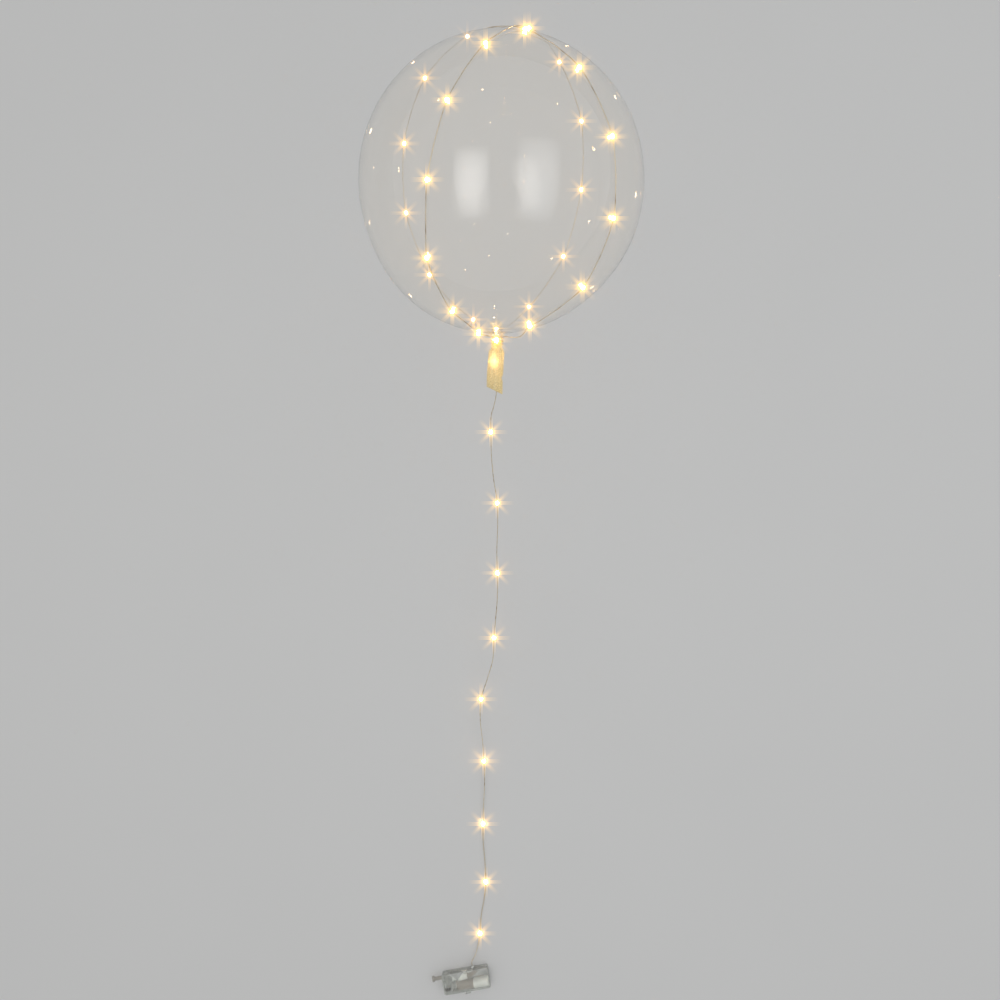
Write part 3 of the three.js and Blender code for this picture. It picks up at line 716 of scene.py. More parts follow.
class BALLOON_OT_film(bpy.types.Operator):
    """The clear film bubble with its gathered neck and its flat tail, as one shell of even thickness"""

    bl_idname = "balloon.film"
    bl_label = "Film bubble"

    def execute(self, context):
        s = context.scene.balloon_film
        form = FilmForm(s)
        outer = film_rings(form, 0.0)
        inner = film_rings(form, s.thickness)
        down = film_rows(form)[0]
        gathered = (down[1:] > form.neck_top + s.neck_length / 2).astype(int)
        slots = np.concatenate([gathered, [1], gathered[::-1]])
        mesh = Mesh()
        mesh.closed_rings(np.concatenate([outer, inner[::-1]]), slot=slots)
        share, across, up = next(point for point in UNDER_TAIL_POINTS if len(point) > 3)[:3]
        lamp = tuple(form.beside(form.neck_end + share * s.tail_length, across, up))
        gathered_film = tail_material(s, lamp, context.scene.balloon_lamps.glow_colour)
        piece = mesh.make("film_bubble", [film_material(s), gathered_film])
        piece.visible_shadow = False
        piece.visible_diffuse = False
        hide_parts("film_balloon")
        return {"FINISHED"}


# The string's route


# Polar angle from the crown and azimuth from the top of each lamp. Some places go on with their share of the
# crossing lift, and with whether a lamp is there
FRONT_LEFT_AND_BACK_RIGHT = [
    (166, -40, 0, False), (151, -38.5), (125, -35), (98, -28), (70.5, -21), (43, -8.5),
    (23.5, 15.8, 1, False), (18, 36.6), (29, 122), (57, 135), (85, 142.5), (113, 149), (140, 159),
    (166.5, -176),
]
FRONT_RIGHT_AND_BACK_LEFT = [
    (162.5, 48), (136.5, 55), (109, 50), (81, 45.6), (53.4, 38.4), (27, 20),
    (13.5, -88), (39, -119.5), (67.5, -129), (95.5, -134), (122.5, -141), (150, -159.5), (172.3, -92),
]

# The wire between two lamps: its stops as shares of the way, and how it comes down from a lamp
STRAND_SHARES = (0.14, 0.32, 0.5, 0.68, 0.86)
SHOULDER_SHARE = 0.2
SHOULDER_DROP = 0.0002

# Places of the wire by the neck: down from the neck's top, across and up
HOOK_POINTS = [(-0.0026, 0, -0.026), (-0.001, 0.0015, -0.017)]
SLACK_POINTS = [(0.0026, 0.019, 0.009), (0.0016, 0.032, 0.023)]

# Places of the wire under the tail: share of the tail, across, up from a lamp's level; True holds a lamp
UNDER_TAIL_POINTS = [
    (0.2, -0.002, -0.0012), (0.32, -0.0024, 0, True), (0.54, -0.001, 0.0006), (0.78, 0.0015, 0.0006),
]

# The wire's turns round the neck, by azimuth in degrees; the lamp among them sits straight off the neck
TIE_START = (145, 85)
FIRST_TURNS = (-45, 312)
NECK_LAMP_AZIMUTH = 355
LAST_TURNS = (398, 885)
LAMP_TURN_ROOM = 0.0017
TURN_DRIFT = 0.0004
NECK_TURN_STEP = 36

# The loose run: it leaves the tail, sags to the floor and lies on it up to the case
LEAVING = (-0.0014, -0.009, -0.0043)
LOOSE_POINTS = [
    (-0.0105, -0.299, 0.1566), (-0.014, -0.311, 0.1514), (-0.0144, -0.334, 0.1414, True),
    (-0.014, -0.365, 0.1285), (-0.011, -0.400, 0.1148), (-0.0058, -0.436, 0.1015, True),
    (-0.0052, -0.470, 0.0897), (-0.0064, -0.505, 0.0784), (-0.0059, -0.541, 0.0676, True),
    (-0.0055, -0.575, 0.0581), (-0.008, -0.608, 0.0497), (-0.0108, -0.642, 0.0417, True),
    (-0.0125, -0.675, 0.0347), (-0.021, -0.707, 0.0286), (-0.0306, -0.739, 0.0231, True),
    (-0.0318, -0.772, 0.0181), (-0.0285, -0.805, 0.0138), (-0.0263, -0.838, 0.0102, True),
    (-0.0255, -0.871, 0.0073), (-0.0268, -0.904, 0.0051), (-0.0279, -0.938, 0.0036, True),
    (-0.0275, -0.968, 0.0023), (-0.025, -1.000, 0.0012), (-0.0238, -1.030, 0.0025, True),
    (-0.026, -1.055, 0.0012), (-0.031, -1.085, 0.0012), (-0.0328, -1.112, 0.0025, True),
    (-0.0355, -1.128, 0.0024), (-0.040, -1.144, 0.0056),
]
BUSHING_APPROACH = 0.005


class Route:
    """The string's stops, and which of them hold a lamp."""

    def __init__(self):
        self.places = []
        self.lamps = []

    def stops(self, places, lamp=False):
        for place in np.atleast_2d(places):
            self.places.append(place)
            self.lamps.append(lamp)


def between(first, second, share):
    """Directions along the great circle from the first to the second."""
    angle = math.acos(np.clip(np.dot(first, second), -1, 1))
    a, b = np.sin((1 - share) * angle), np.sin(share * angle)
    return unit((a[:, None] * first + b[:, None] * second) / math.sin(angle))


def strand_on_film(route, form, strings, lamps, spots):
    """A strand pressed on the film. The wire rises a little over each lamp."""
    wire_lift = strings.wire_radius + strings.film_gap
    lamp_lift = lamps.radius + lamps.film_gap
    spots = [(*spot, *(0, True)[len(spot) - 2 :]) for spot in spots]
    shares = np.array(STRAND_SHARES)
    near = np.minimum(shares, 1 - shares) < SHOULDER_SHARE
    level = np.where(near, lamp_lift - SHOULDER_DROP, wire_lift)
    for spot, onward in zip(spots, [*spots[1:], None]):
        here = heading(*spot[:2])
        extra = spot[2] * strings.crossing_lift
        route.stops(form.on_film(here, (lamp_lift if spot[3] else wire_lift) + extra), bool(spot[3]))
        if onward:
            rise = lerp(extra, onward[2] * strings.crossing_lift, shares)
            route.stops(form.on_film(between(here, heading(*onward[:2]), shares), level + rise))


def neck_turns(route, form, strings, azimuths, first_down, last_down):
    """Turns of the wire round the neck."""
    count = math.ceil(abs(azimuths[1] - azimuths[0]) / NECK_TURN_STEP)
    share = np.linspace(0, 1, count + 1)
    azimuth = np.radians(lerp(azimuths[0], azimuths[1], share))
    down = lerp(first_down, last_down, share)
    route.stops(form.around_neck(azimuth, down, strings.wire_radius + strings.film_gap))


def wound_route(form, strings, lamps):
    """The wire's route: from the neck over the crown and back, twice, round the neck and under the tail."""
    s = form.s
    wire_lift = strings.wire_radius + strings.film_gap
    lamp_lift = lamps.radius + lamps.film_gap
    tie = form.neck_top
    first_turn = tie + 2 * TURN_DRIFT
    lamp_turn = first_turn + strings.neck_turn_rise + LAMP_TURN_ROOM
    last_turn = lamp_turn + 1.5 * strings.neck_turn_rise
    under_neck = -s.neck_radius - wire_lift
    route = Route()
    strand_on_film(route, form, strings, lamps, FRONT_LEFT_AND_BACK_RIGHT)
    for down, across, up in HOOK_POINTS:
        route.stops(form.beside(tie + down, across, up))
    neck_turns(route, form, strings, TIE_START, tie, tie + TURN_DRIFT)
    for down, across, up in SLACK_POINTS:
        route.stops(form.beside(tie + down, across, up))
    strand_on_film(route, form, strings, lamps, FRONT_RIGHT_AND_BACK_LEFT)
    neck_turns(route, form, strings, FIRST_TURNS, first_turn + 2 * TURN_DRIFT, lamp_turn - TURN_DRIFT)
    azimuth = np.radians(float(NECK_LAMP_AZIMUTH))
    lamp_middle = form.around_neck(azimuth, lamp_turn, lamp_lift + lamps.film_gap)
    along = np.array([math.cos(azimuth), 0.0, -math.sin(azimuth)])
    seat = lamps.span / 2 + lamps.end_room
    route.stops(lamp_middle - along * seat)
    route.stops(lamp_middle, lamp=True)
    route.stops(lamp_middle + along * seat)
    neck_turns(route, form, strings, LAST_TURNS, lamp_turn + TURN_DRIFT, last_turn)
    route.stops(form.beside(last_turn + strings.neck_turn_rise, 0.0, under_neck))
    route.stops(form.beside(form.neck_end + strings.neck_turn_rise, -0.001, under_neck + wire_lift))
    level = -s.tail_thickness - lamp_lift - s.tail_pleat
    for share, across, up, *lamp in UNDER_TAIL_POINTS:
        route.stops(form.beside(form.neck_end + s.tail_length * share, across, level + up), bool(lamp))
    route.stops(string_exit(form, strings))
    return route


def string_exit(form, strings):
    """Where the string leaves the tail's end."""
    s = form.s
    under = -s.tail_thickness / 2 - strings.wire_radius - strings.film_gap - s.tail_pleat
    return form.beside(form.tail_end + strings.tail_start, strings.tail_side, under)


def loose_route(form, strings, case):
    """The string's free run, from the tail's end to the case's bushing."""
    leaving = np.array(LEAVING)
    exit_point = string_exit(form, strings)
    route = Route()
    route.stops(exit_point + unit(leaving) * case.s.joint_gap)
    route.stops(exit_point + leaving)
    for x, y, z, *lamp in LOOSE_POINTS:
        route.stops(np.array([x, y, z]), bool(lamp))
    entry = case.width / 2 + case.s.bushing_length + case.s.joint_gap
    place = case.s.bushing_place
    route.stops(case.place([place, entry + BUSHING_APPROACH, case.axis_height - case.s.joint_gap]))
    route.stops(case.place([place, entry, case.axis_height]))
    return route


SAMPLES = 40


def smooth_line(places):
    """A centripetal Catmull-Rom curve through the places, in SAMPLES steps from each to the next.

    Between two places it is a cubic whose end slopes are those of the parabolas through each place and its
    neighbours, where the step from one place to the next counts as the square root of its length.
    """
    places = np.array(places, float)
    padded = np.concatenate([[2 * places[0] - places[1]], places, [2 * places[-1] - places[-2]]])
    steps = np.linalg.norm(np.diff(padded, axis=0), axis=1) ** 0.5
    a, b, c, d = padded[:-3], padded[1:-2], padded[2:-1], padded[3:]
    before, here, after = (steps[i : len(steps) - 2 + i, None] for i in range(3))
    slope_b = ((b - a) / before - (c - a) / (before + here) + (c - b) / here) * here
    slope_c = ((c - b) / here - (d - b) / (here + after) + (d - c) / after) * here
    t = (np.arange(SAMPLES) / SAMPLES)[None, :, None]
    cubic = 2 * b - 2 * c + slope_b + slope_c
    square = -3 * b + 3 * c - 2 * slope_b - slope_c
    line = b[:, None] + slope_b[:, None] * t + square[:, None] * t**2 + cubic[:, None] * t**3
    return np.concatenate([line.reshape(-1, 3), places[-1:]])


class Line:
    """The string's centreline, straight through each lamp, with even steps."""

    def __init__(self, route, seat, step):
        curve = smooth_line(route.places)
        run = np.concatenate([[0.0], np.cumsum(np.linalg.norm(np.diff(curve, axis=0), axis=1))])
        self.curve, self.run = curve, run
        middles = run[np.flatnonzero(route.lamps) * SAMPLES]
        self.starts = self.at(middles - seat)
        self.ends = self.at(middles + seat)
        kept = np.abs(run[:, None] - middles[None, :]).min(axis=1) > seat
        run = np.concatenate([run[kept], middles - seat, middles + seat])
        curve = np.concatenate([curve[kept], self.starts, self.ends])
        order = np.argsort(run, kind="stable")
        self.curve, self.run = curve[order], run[order]
        count = max(2, round((self.run[-1] - self.run[0]) / step))
        self.marks = np.linspace(self.run[0], self.run[-1], count + 1)
        self.points = self.at(self.marks)
        self.length = float(np.linalg.norm(np.diff(self.points, axis=0), axis=1).sum())

    def at(self, marks):
        """The points these lengths along the line."""
        return np.stack([np.interp(marks, self.run, self.curve[:, axis]) for axis in range(3)], axis=-1)


def carried_frames(points):
    """Two directions square to the line at each point, turned no more from one to the next than they must."""
    tangent = unit(np.gradient(points, axis=0))
    first = np.cross(tangent[0], UP)
    side = first if np.linalg.norm(first) > 0.1 else np.cross(tangent[0], [1.0, 0.0, 0.0])
    sides = []
    for along in tangent:
        side = side - along * np.dot(side, along)
        side = side / np.linalg.norm(side)
        sides.append(side)
    sides = np.array(sides)
    return sides, np.cross(tangent, sides)


def tube_rings(points, radius, sides, frames=None):
    """Rings of a round tube: the centre plus the radius times a cosine and a sine of the turn."""
    first, second = carried_frames(points) if frames is None else frames
    turn = np.arange(sides) * 2 * math.pi / sides
    circle = np.cos(turn)[None, :, None] * first[:, None] + np.sin(turn)[None, :, None] * second[:, None]
    radius = np.broadcast_to(np.asarray(radius, float), (len(points),))
    return points[:, None] + radius[:, None, None] * circle


def twin_wire(line, strings, sides=6):
    """Two strands twisted about the centreline: each strand's centre turns round it once in a pitch."""
    frames = carried_frames(line.points)
    offset = strings.wire_radius - strings.strand_radius
    mesh = Mesh()
    for phase in (0.0, math.pi):
        turn = (2 * math.pi * line.marks / strings.twist_pitch + phase)[:, None]
        centre = line.points + offset * (np.cos(turn) * frames[0] + np.sin(turn) * frames[1])
        mesh.closed_rings(tube_rings(centre, strings.strand_radius, sides, frames))
    return mesh


# The lamps


def turned_rings(along, radius, start, axis, first, second, columns):
    """A turned form: rings of these radii at these places along an axis."""
    turn = np.arange(columns) * 2 * math.pi / columns
    circle = np.cos(turn)[None, :, None] * first + np.sin(turn)[None, :, None] * second
    return start + np.asarray(along)[:, None, None] * axis + np.asarray(radius)[:, None, None] * circle


def lamp_piece(name, start, end, lamps, materials, random):
    """A resin drop cast round the wire, with its light chip inside.

    The drop's radius is a power of a cosine along its length, squashed a little to one side, and never less
    than the wire's own sleeve of resin. The chip is a block with round corners.
    """
    axis = unit(end - start)
    middle = (start + end) / 2
    first = unit(np.cross(axis, UP if abs(axis[2]) < 0.9 else np.array([1.0, 0.0, 0.0])))
    second = np.cross(axis, first)
    share = np.linspace(-1, 1, 23)
    belly = random.uniform(0.60, 0.72)
    lean = random.uniform(-0.12, 0.12)
    radius = lamps.radius * np.cos(math.pi / 2 * np.clip(share + lean * (1 - share**2), -1, 1)) ** belly
    radius = np.maximum(radius, 0.00025)
    squash = random.uniform(0.88, 1.0)
    mesh = Mesh()
    drop = turned_rings(share * lamps.span / 2, radius, middle, axis, first, second * squash, 20)
    mesh.closed_rings(drop, mark=np.cos(math.pi / 2 * share) ** 1.5)
    half = lamps.chip_size / 2
    corners = np.array([-1, -0.86, 0.86, 1]) * half
    width = np.array([0.8, 1, 1, 0.8]) * half * 0.55
    seat = middle + second * squash * lamps.radius * 0.3
    chip = turned_rings(corners, width, seat, axis, first, second * 0.6, 8)
    mesh.closed_rings(chip, mark=1.0, slot=1)
    return mesh.make(name, materials, "glow")


class BALLOON_OT_wound_string(bpy.types.Operator):
    """The twin wire wound over the bubble and round its neck, with a lamp every tenth of a metre"""

    bl_idname = "balloon.wound_string"
    bl_label = "Wound string"

    def execute(self, context):
        strings, lamps = context.scene.balloon_string, context.scene.balloon_lamps
        form = FilmForm(context.scene.balloon_film)
        seat = lamps.span / 2 + lamps.end_room
        line = Line(wound_route(form, strings, lamps), seat, 0.0015)
        piece = twin_wire(line, strings).make("wound_twin_wire", [wire_material(strings)])
        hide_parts("wound_string")
        string_lamps(line, lamps, "balloon_lamp", "wound_lamp", 1)
        return {"FINISHED"}


def string_lamps(line, lamps, node, name, seed):
    """One resin drop for each lamp node, in the order of the string."""
    random = np.random.default_rng(seed)
    materials = [resin_material(lamps), chip_material(lamps)]
    pieces = []
    for number, (start, end) in enumerate(zip(line.starts, line.ends), 1):
        piece = lamp_piece(f"{name}_{number:02d}", start, end, lamps, materials, random)
        piece.visible_diffuse = False
        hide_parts(f"{node}_{number:02d}")
        pieces.append(piece)
    return pieces


class BALLOON_OT_loose_string(bpy.types.Operator):
    """The free run of the string, from the tail's end down to the floor and along it to the battery case"""

    bl_idname = "balloon.loose_string"
    bl_label = "Loose string"

    def execute(self, context):
        strings, lamps = context.scene.balloon_string, context.scene.balloon_lamps
        form = FilmForm(context.scene.balloon_film)
        case = CaseForm(context.scene.balloon_case)
        seat = lamps.span / 2 + lamps.end_room
        line = Line(loose_route(form, strings, case), seat, 0.0015)
        piece = twin_wire(line, strings).make("loose_twin_wire", [wire_material(strings)])
        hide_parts("loose_string")
        drops = string_lamps(line, lamps, "string_lamp", "loose_lamp", 2)
        return {"FINISHED"}


# The battery case


class CaseForm:
    """The case's own sizes and its place, from the settings and the frame."""

    def __init__(self, s):
        low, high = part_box("case_lid")
        self.s = s
        inner = 4 * s.cell_radius + 3 * s.cell_gap
        bay = s.cell_length + s.nub_length + s.spring_length + 2 * s.plate_thickness + s.cell_gap
        self.inner_width = inner
        self.inner_height = 2 * s.cell_radius + 2 * s.cell_gap
        self.width = inner + 2 * s.wall
        self.length = bay + s.wall + s.bay_length + 2 * s.wall
        self.axis_height = s.wall + s.cell_gap + s.cell_radius
        self.bay_start = -self.length / 2 + 2 * s.wall + s.bay_length
        self.bay_end = self.bay_start + bay
        self.middle = np.array([(low.x + high.x) / 2, (low.y + high.y) / 2, 0.0])
        self.axes = np.array([
            [math.cos(s.turn), math.sin(s.turn), 0.0],
            [-math.sin(s.turn), math.cos(s.turn), 0.0],
            [0.0, 0.0, 1.0],
        ])

    def place(self, points):
        """Points given in the case's own axes, put where the case lies."""
        return np.asarray(points, float) @ self.axes + self.middle


def eased_copy(node, name, width, material):
    """A copy of a node's mesh with its triangles merged and its edges rounded."""
    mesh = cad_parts[node].data.copy()
    mesh.name = name
    work = bmesh.new()
    work.from_mesh(mesh)
    bmesh.ops.remove_doubles(work, verts=work.verts, dist=1e-5)
    bmesh.ops.dissolve_limit(work, angle_limit=math.radians(0.5), verts=work.verts, edges=work.edges)
    work.to_mesh(mesh)
    work.free()
    mesh.materials.clear()
    mesh.materials.append(material)
    mesh.polygons.foreach_set("use_smooth", np.ones(len(mesh.polygons), dtype=bool))
    piece = bpy.data.objects.new(name, mesh)
    bpy.context.scene.collection.objects.link(piece)
    bevel = piece.modifiers.new("edges", "BEVEL")
    bevel.width = width
    bevel.segments = 2
    bevel.limit_method = "ANGLE"
    bevel.angle_limit = math.radians(25)
    bevel.harden_normals = True
    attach(piece, BODY)
    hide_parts(node)
    return piece


class BALLOON_OT_case(bpy.types.Operator):
    """The clear tray and lid, the slide switch and the bushing"""

    bl_idname = "balloon.case"
    bl_label = "Battery case"

    def execute(self, context):
        s = context.scene.balloon_case
        case = CaseForm(s)
        clear = case_material(s, case)
        for node, name in (("case_tray", "clear_tray"), ("case_lid", "clear_lid")):
            piece = eased_copy(node, name, s.edge_round, clear)
            piece.visible_shadow = False
        switch = moulded_material("switch_plastic", tuple(s.switch_colour), 0.38)
        eased_copy("slide_switch", "ribbed_switch", s.edge_round / 2, switch)
        share = np.linspace(0, 1, 37)
        rib = 0.0002 * np.cos(2 * math.pi * 4 * share)
        radius = lerp(s.bushing_radius, s.bushing_tip_radius, share) - 0.0002 + rib
        radius = radius * np.where(share == 1, 0.75, 1)
        along = s.joint_gap / 2 + (s.bushing_length - s.joint_gap / 2) * share
        start = case.place([s.bushing_place, case.width / 2, case.axis_height])
        mesh = Mesh()
        mesh.closed_rings(turned_rings(along, radius, start, case.axes[1], case.axes[0], UP, 24))
        bushing = mesh.make("ribbed_bushing", [clear])
        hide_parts("string_bushing")
        return {"FINISHED"}


# A cell's outline: share of its length and share of its radius, from the flat end to the can's shoulder
CAN_OUTLINE = [
    (0, 0.55), (0, 0.80), (0.004, 0.88), (0.004, 0.94), (0, 0.965), (0.003, 0.99), (0.008, 1.0),
    (0.25, 1.0), (0.5, 1.0), (0.75, 1.0), (0.98, 1.0), (0.992, 0.985), (0.998, 0.95), (1.0, 0.90),
    (0.996, 0.86), (0.996, 0.45),
]


class BALLOON_OT_cells(bpy.types.Operator):
    """The two cells, side by side and head to tail"""

    bl_idname = "balloon.cells"
    bl_label = "Cells"

    def execute(self, context):
        s = context.scene.balloon_case
        case = CaseForm(s)
        jacket = jacket_material(s)
        for side, node, name in ((-1, "cell_near", "near_cell"), (1, "cell_far", "far_cell")):
            room = s.plate_thickness + s.cell_gap / 2 + (s.nub_length if side > 0 else s.spring_length)
            low = case.bay_start + room
            outline = np.array(CAN_OUTLINE)
            nub = np.array([[0.0, 1.0], [0.8, 1.0], [1.0, 0.8]])
            along = np.concatenate([outline[:, 0] * s.cell_length, s.cell_length + nub[:, 0] * s.nub_length])
            radius = np.concatenate([outline[:, 1] * s.cell_radius, nub[:, 1] * s.nub_radius])
            start = low if side < 0 else low + s.cell_length
            origin = case.place([start, side * (s.cell_radius + s.cell_gap / 2), case.axis_height])
            axis = -side * case.axes[0]
            mesh = Mesh()
            rings = turned_rings(along, radius, origin, axis, case.axes[1], UP, 48)
            mesh.closed_rings(rings, mark=np.clip(along / s.cell_length, 0, 1))
            piece = mesh.make(name, [jacket], "along")
            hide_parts(node)
        return {"FINISHED"}


def rounded_plate(case, low_x, high_x, half_width, half_height, round_share=0.12, columns=32):
    """A thin plate square to the case's length: its outline is a rectangle with round corners."""
    turn = np.arange(columns) * 2 * math.pi / columns
    power = 2 * round_share
    across = np.sign(np.cos(turn)) * np.abs(np.cos(turn)) ** power * half_width
    height = np.sign(np.sin(turn)) * np.abs(np.sin(turn)) ** power * half_height
    rings = []
    for x, scale in ((low_x, 0.98), (low_x, 1.0), (high_x, 1.0), (high_x, 0.98)):
        ring = np.stack([np.full(columns, x), across * scale, case.axis_height + height * scale], axis=-1)
        rings.append(case.place(ring))
    return np.array(rings)


def spring_line(case, end, side, plate_x, turns=5.5, samples=240):
    """A tapered coil: the radius shrinks evenly from the plate to the cell, and both ends lie flat."""
    s = case.s
    share = np.linspace(0, 1, samples)
    angle = 2 * math.pi * turns * share
    radius = lerp(s.spring_radius, s.spring_tip_radius, share) - s.spring_wire
    stretch = s.spring_length - s.cell_gap - 3 * s.spring_wire
    rise = s.plate_thickness / 2 + s.spring_wire + stretch * smooth(0.08, 0.92, share)
    x = plate_x - end * rise
    y = side * (s.cell_radius + s.cell_gap / 2) + radius * np.cos(angle)
    return case.place(np.stack([x, y, case.axis_height + radius * np.sin(angle)], axis=-1))


class BALLOON_OT_contacts(bpy.types.Operator):
    """The contact plates with their tapered coil springs"""

    bl_idname = "balloon.contacts"
    bl_label = "Contacts and leads"

    def execute(self, context):
        s = context.scene.balloon_case
        case = CaseForm(s)
        metal = metal_material()
        half_width = case.inner_width / 2 - s.plate_side_gap
        half_height = case.inner_height / 2 - s.cell_gap
        ends = ((-1, "contact_bay_end", "bay_contact"), (1, "contact_far_end", "far_contact"))
        for end, node, name in ends:
            middle = case.bay_start if end < 0 else case.bay_end
            middle = middle - end * (s.cell_gap / 4 + s.plate_thickness / 2)
            half = s.plate_thickness / 2
            mesh = Mesh()
            mesh.closed_rings(rounded_plate(case, middle - half, middle + half, half_width, half_height))
            coil = spring_line(case, end, end, middle)
            mesh.closed_rings(tube_rings(coil, s.spring_wire, 8))
            piece = mesh.make(name, [metal])
            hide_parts(node)
        return {"FINISHED"}


# Places of the two leads in the case's own axes: from the bay along the upper corner to the bushing's hole
LEADS = {
    "pale_lead": [
        (-0.0290, -0.0035, 0.0085), (-0.0285, 0.0035, 0.0100), (-0.0270, 0.0105, 0.0130),
        (-0.0240, 0.0134, 0.0148), (-0.0150, 0.0138, 0.0149), (0.0020, 0.0138, 0.0149),
        (0.0100, 0.0139, 0.0147), (0.0126, 0.0146, 0.0125), (0.0128, 0.0152, 0.0098),
        (0.0128, 0.0155, 0.0086),
    ],
    "dark_lead": [
        (-0.0325, -0.0035, 0.0080), (-0.0325, 0.0030, 0.0066), (-0.0300, 0.0090, 0.0070),
        (-0.0262, 0.0128, 0.0138), (-0.0200, 0.0131, 0.0150), (0.0000, 0.0131, 0.0150),
        (0.0100, 0.0132, 0.0149), (0.0132, 0.0142, 0.0128), (0.0134, 0.0151, 0.0100),
        (0.0133, 0.0155, 0.0086),
    ],
}
LEAD_COLOURS = {"pale_lead": (0.62, 0.60, 0.56), "dark_lead": (0.05, 0.048, 0.045)}
LEAD_RADIUS = 0.0004


class BALLOON_OT_leads(bpy.types.Operator):
    """The two thin leads inside the case, from the switch and the contact to the string's bushing"""

    bl_idname = "balloon.leads"
    bl_label = "Leads"

    def execute(self, context):
        case = CaseForm(context.scene.balloon_case)
        for name, places in LEADS.items():
            route = case.place(places)
            line = smooth_line(route)[::4]
            mesh = Mesh()
            mesh.closed_rings(tube_rings(line, LEAD_RADIUS, 10))
            piece = mesh.make(name, [moulded_material(name, LEAD_COLOURS[name], 0.4)])
        return {"FINISHED"}


# The stage


# A softbox is brightest in its middle and fades to its edges; the gain makes up for that
SOFT_EDGE_GAIN = 12.0
SOFT_EDGE_POWER = 0.7

# Name, place, size, share of the power and colour
SOFTBOXES = [
    ("left_softbox", (-1.0, -0.40, 2.6), (1.3, 2.3), 0.7, (1.0, 0.985, 0.96)),
    ("right_softbox", (1.3, -0.35, 2.6), (1.7, 3.0), 1.0, (0.96, 0.98, 1.0)),
]


def softbox(name, place, size, power, warmth):
    """A soft rectangular light over the object, tipped towards its length and left out of the picture."""
    light = bpy.data.lights.new(name, "AREA")
    light.shape = "RECTANGLE"
    light.size, light.size_y = size
    light.energy = power
    light.color = warmth
    graph = Graph(light, "Emission")
    spot = graph.node("ShaderNodeNewGeometry", {}, {})["Parametric"]
    across, along, _ = graph.parts(spot)
    fade = (across * (1 - across) * along * (1 - along)) ** SOFT_EDGE_POWER
    graph.finish(Strength=SOFT_EDGE_GAIN * fade)
    lamp = bpy.data.objects.new(name, light)
    lamp.location = place
    lamp.rotation_euler = (0.0, math.atan2(place[0], place[2]), 0.0)
    lamp.visible_camera = False
    bpy.context.scene.collection.objects.link(lamp)


# What is brighter than the floor glares, and counts for no more than the ceiling
GLARE_TINT = (1.0, 0.74, 0.06, 1.0)
GLARE_FLOOR = 3.0
GLARE_CEILING = 9.0


def star_glare(scene, share):
    """Small stars and a soft golden halo round the lamps, as a lens makes them."""
    scene.use_nodes = True
    tree = scene.node_tree
    tree.nodes.clear()
    layers = tree.nodes.new("CompositorNodeRLayers")
    output = tree.nodes.new("CompositorNodeComposite")
    socket = layers.outputs["Image"]
    kinds = {
        "STREAKS": {"Streaks": 8, "Iterations": 2, "Fade": 0.80, "Color Modulation": 0.0},
        "FOG_GLOW": {"Size": 0.30},
    }
    shared = {"Strength": share, "Tint": GLARE_TINT, "Threshold": GLARE_FLOOR, "Smoothness": 0.1}
    shared |= {"Clamp": True, "Maximum": GLARE_CEILING}
    for kind, values in kinds.items():
        glare = tree.nodes.new("CompositorNodeGlare")
        glare.glare_type = kind
        glare.quality = "HIGH"
        for name, value in {**shared, **values}.items():
            glare.inputs[name].default_value = value
        tree.links.new(socket, glare.inputs["Image"])
        socket = glare.outputs["Image"]
    tree.links.new(socket, output.inputs["Image"])


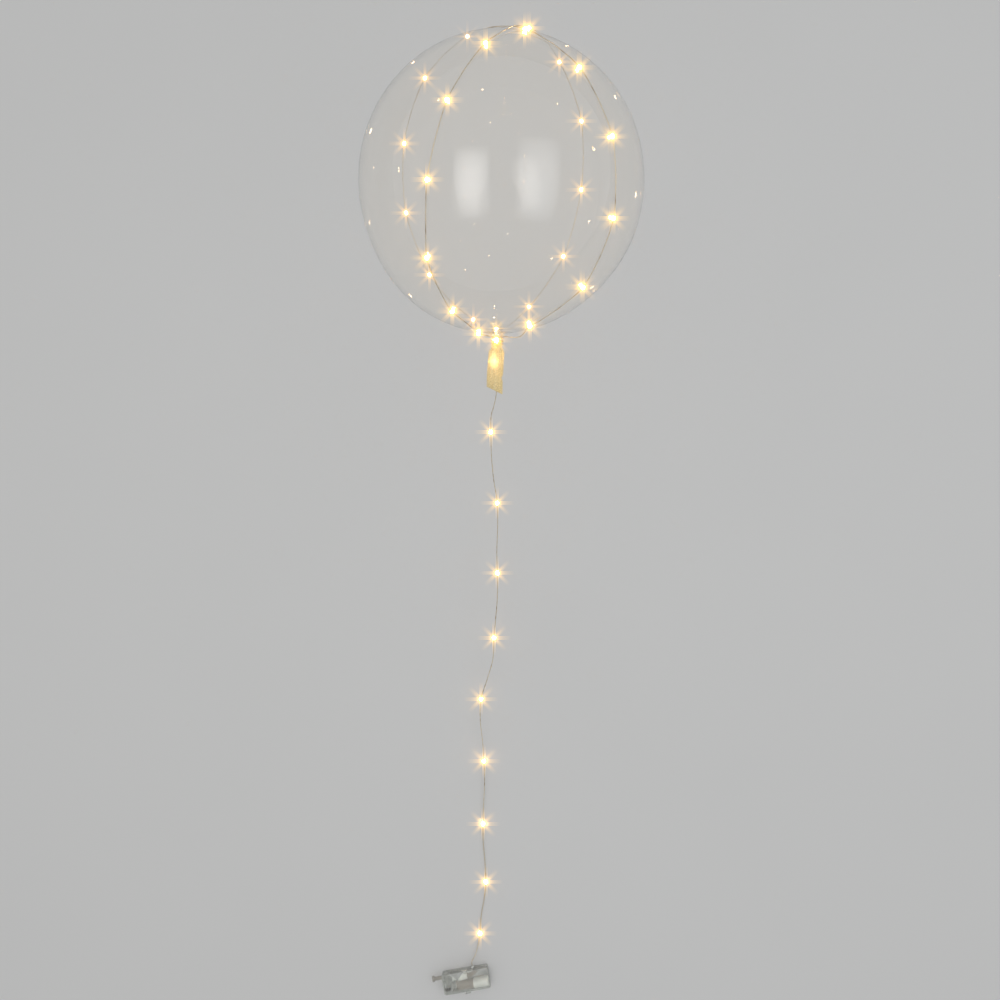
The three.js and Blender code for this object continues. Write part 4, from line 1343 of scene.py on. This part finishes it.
class BALLOON_OT_stage(bpy.types.Operator):
    """The pale floor, the soft studio light and the camera"""

    bl_idname = "balloon.stage"
    bl_label = "Stage"

    def execute(self, context):
        s = context.scene.balloon_stage
        scene = context.scene
        half = s.floor_size / 2
        corners = [(-half, -half, 0.0), (half, -half, 0.0), (half, half, 0.0), (-half, half, 0.0)]
        mesh = bpy.data.meshes.new("floor")
        mesh.from_pydata(corners, [], [(0, 1, 2, 3)])
        mesh.materials.append(floor_material(s))
        floor = bpy.data.objects.new("floor", mesh)
        scene.collection.objects.link(floor)

        for name, place, size, share, warmth in SOFTBOXES:
            softbox(name, place, size, s.softbox_power * share, warmth)

        world = bpy.data.worlds.new("studio")
        world.use_nodes = True
        background = world.node_tree.nodes["Background"]
        background.inputs["Color"].default_value = (0.97, 0.985, 1.0, 1.0)
        background.inputs["Strength"].default_value = s.sky
        scene.world = world

        camera = bpy.data.cameras.new("camera")
        camera.lens = s.camera_lens
        camera.sensor_width = 36.0
        viewer = bpy.data.objects.new("camera", camera)
        viewer.location = (-s.camera_side, -s.camera_back, s.camera_height)
        viewer.rotation_euler = (s.camera_tilt, 0.0, 0.0)
        scene.collection.objects.link(viewer)
        scene.camera = viewer
        scene.view_settings.view_transform = "Standard"
        star_glare(scene, s.glare)
        return {"FINISHED"}


class BALLOON_PT_panel(bpy.types.Panel):
    """Lists the steps in the sidebar"""

    bl_idname = "BALLOON_PT_panel"
    bl_label = "Bubble balloon"
    bl_space_type = "VIEW_3D"
    bl_region_type = "UI"
    bl_category = "Balloon"

    def draw(self, context):
        for operator in OPERATORS:
            self.layout.operator(operator.bl_idname)


SETTINGS = {
    "balloon_film": FilmSettings,
    "balloon_string": StringSettings,
    "balloon_lamps": LampSettings,
    "balloon_case": CaseSettings,
    "balloon_stage": StageSettings,
}
OPERATORS = [
    BALLOON_OT_stage,
    BALLOON_OT_loose_string,
    BALLOON_OT_wound_string,
    BALLOON_OT_film,
    BALLOON_OT_case,
    BALLOON_OT_cells,
    BALLOON_OT_contacts,
    BALLOON_OT_leads,
]


def register():
    for group in SETTINGS.values():
        bpy.utils.register_class(group)
    for name, group in SETTINGS.items():
        setattr(bpy.types.Scene, name, PointerProperty(type=group))
    for entry in (*OPERATORS, BALLOON_PT_panel):
        bpy.utils.register_class(entry)


def unregister():
    for entry in (BALLOON_PT_panel, *reversed(OPERATORS)):
        bpy.utils.unregister_class(entry)
    for name, group in SETTINGS.items():
        delattr(bpy.types.Scene, name)
        bpy.utils.unregister_class(group)


def main():
    """Makes the camera and the cord first, then every other piece."""
    register()
    bpy.ops.balloon.stage()
    bpy.ops.balloon.loose_string()
    bpy.ops.balloon.wound_string()
    bpy.ops.balloon.film()
    bpy.ops.balloon.case()
    bpy.ops.balloon.cells()
    bpy.ops.balloon.contacts()
    bpy.ops.balloon.leads()


if __name__ == "__main__":
    main()
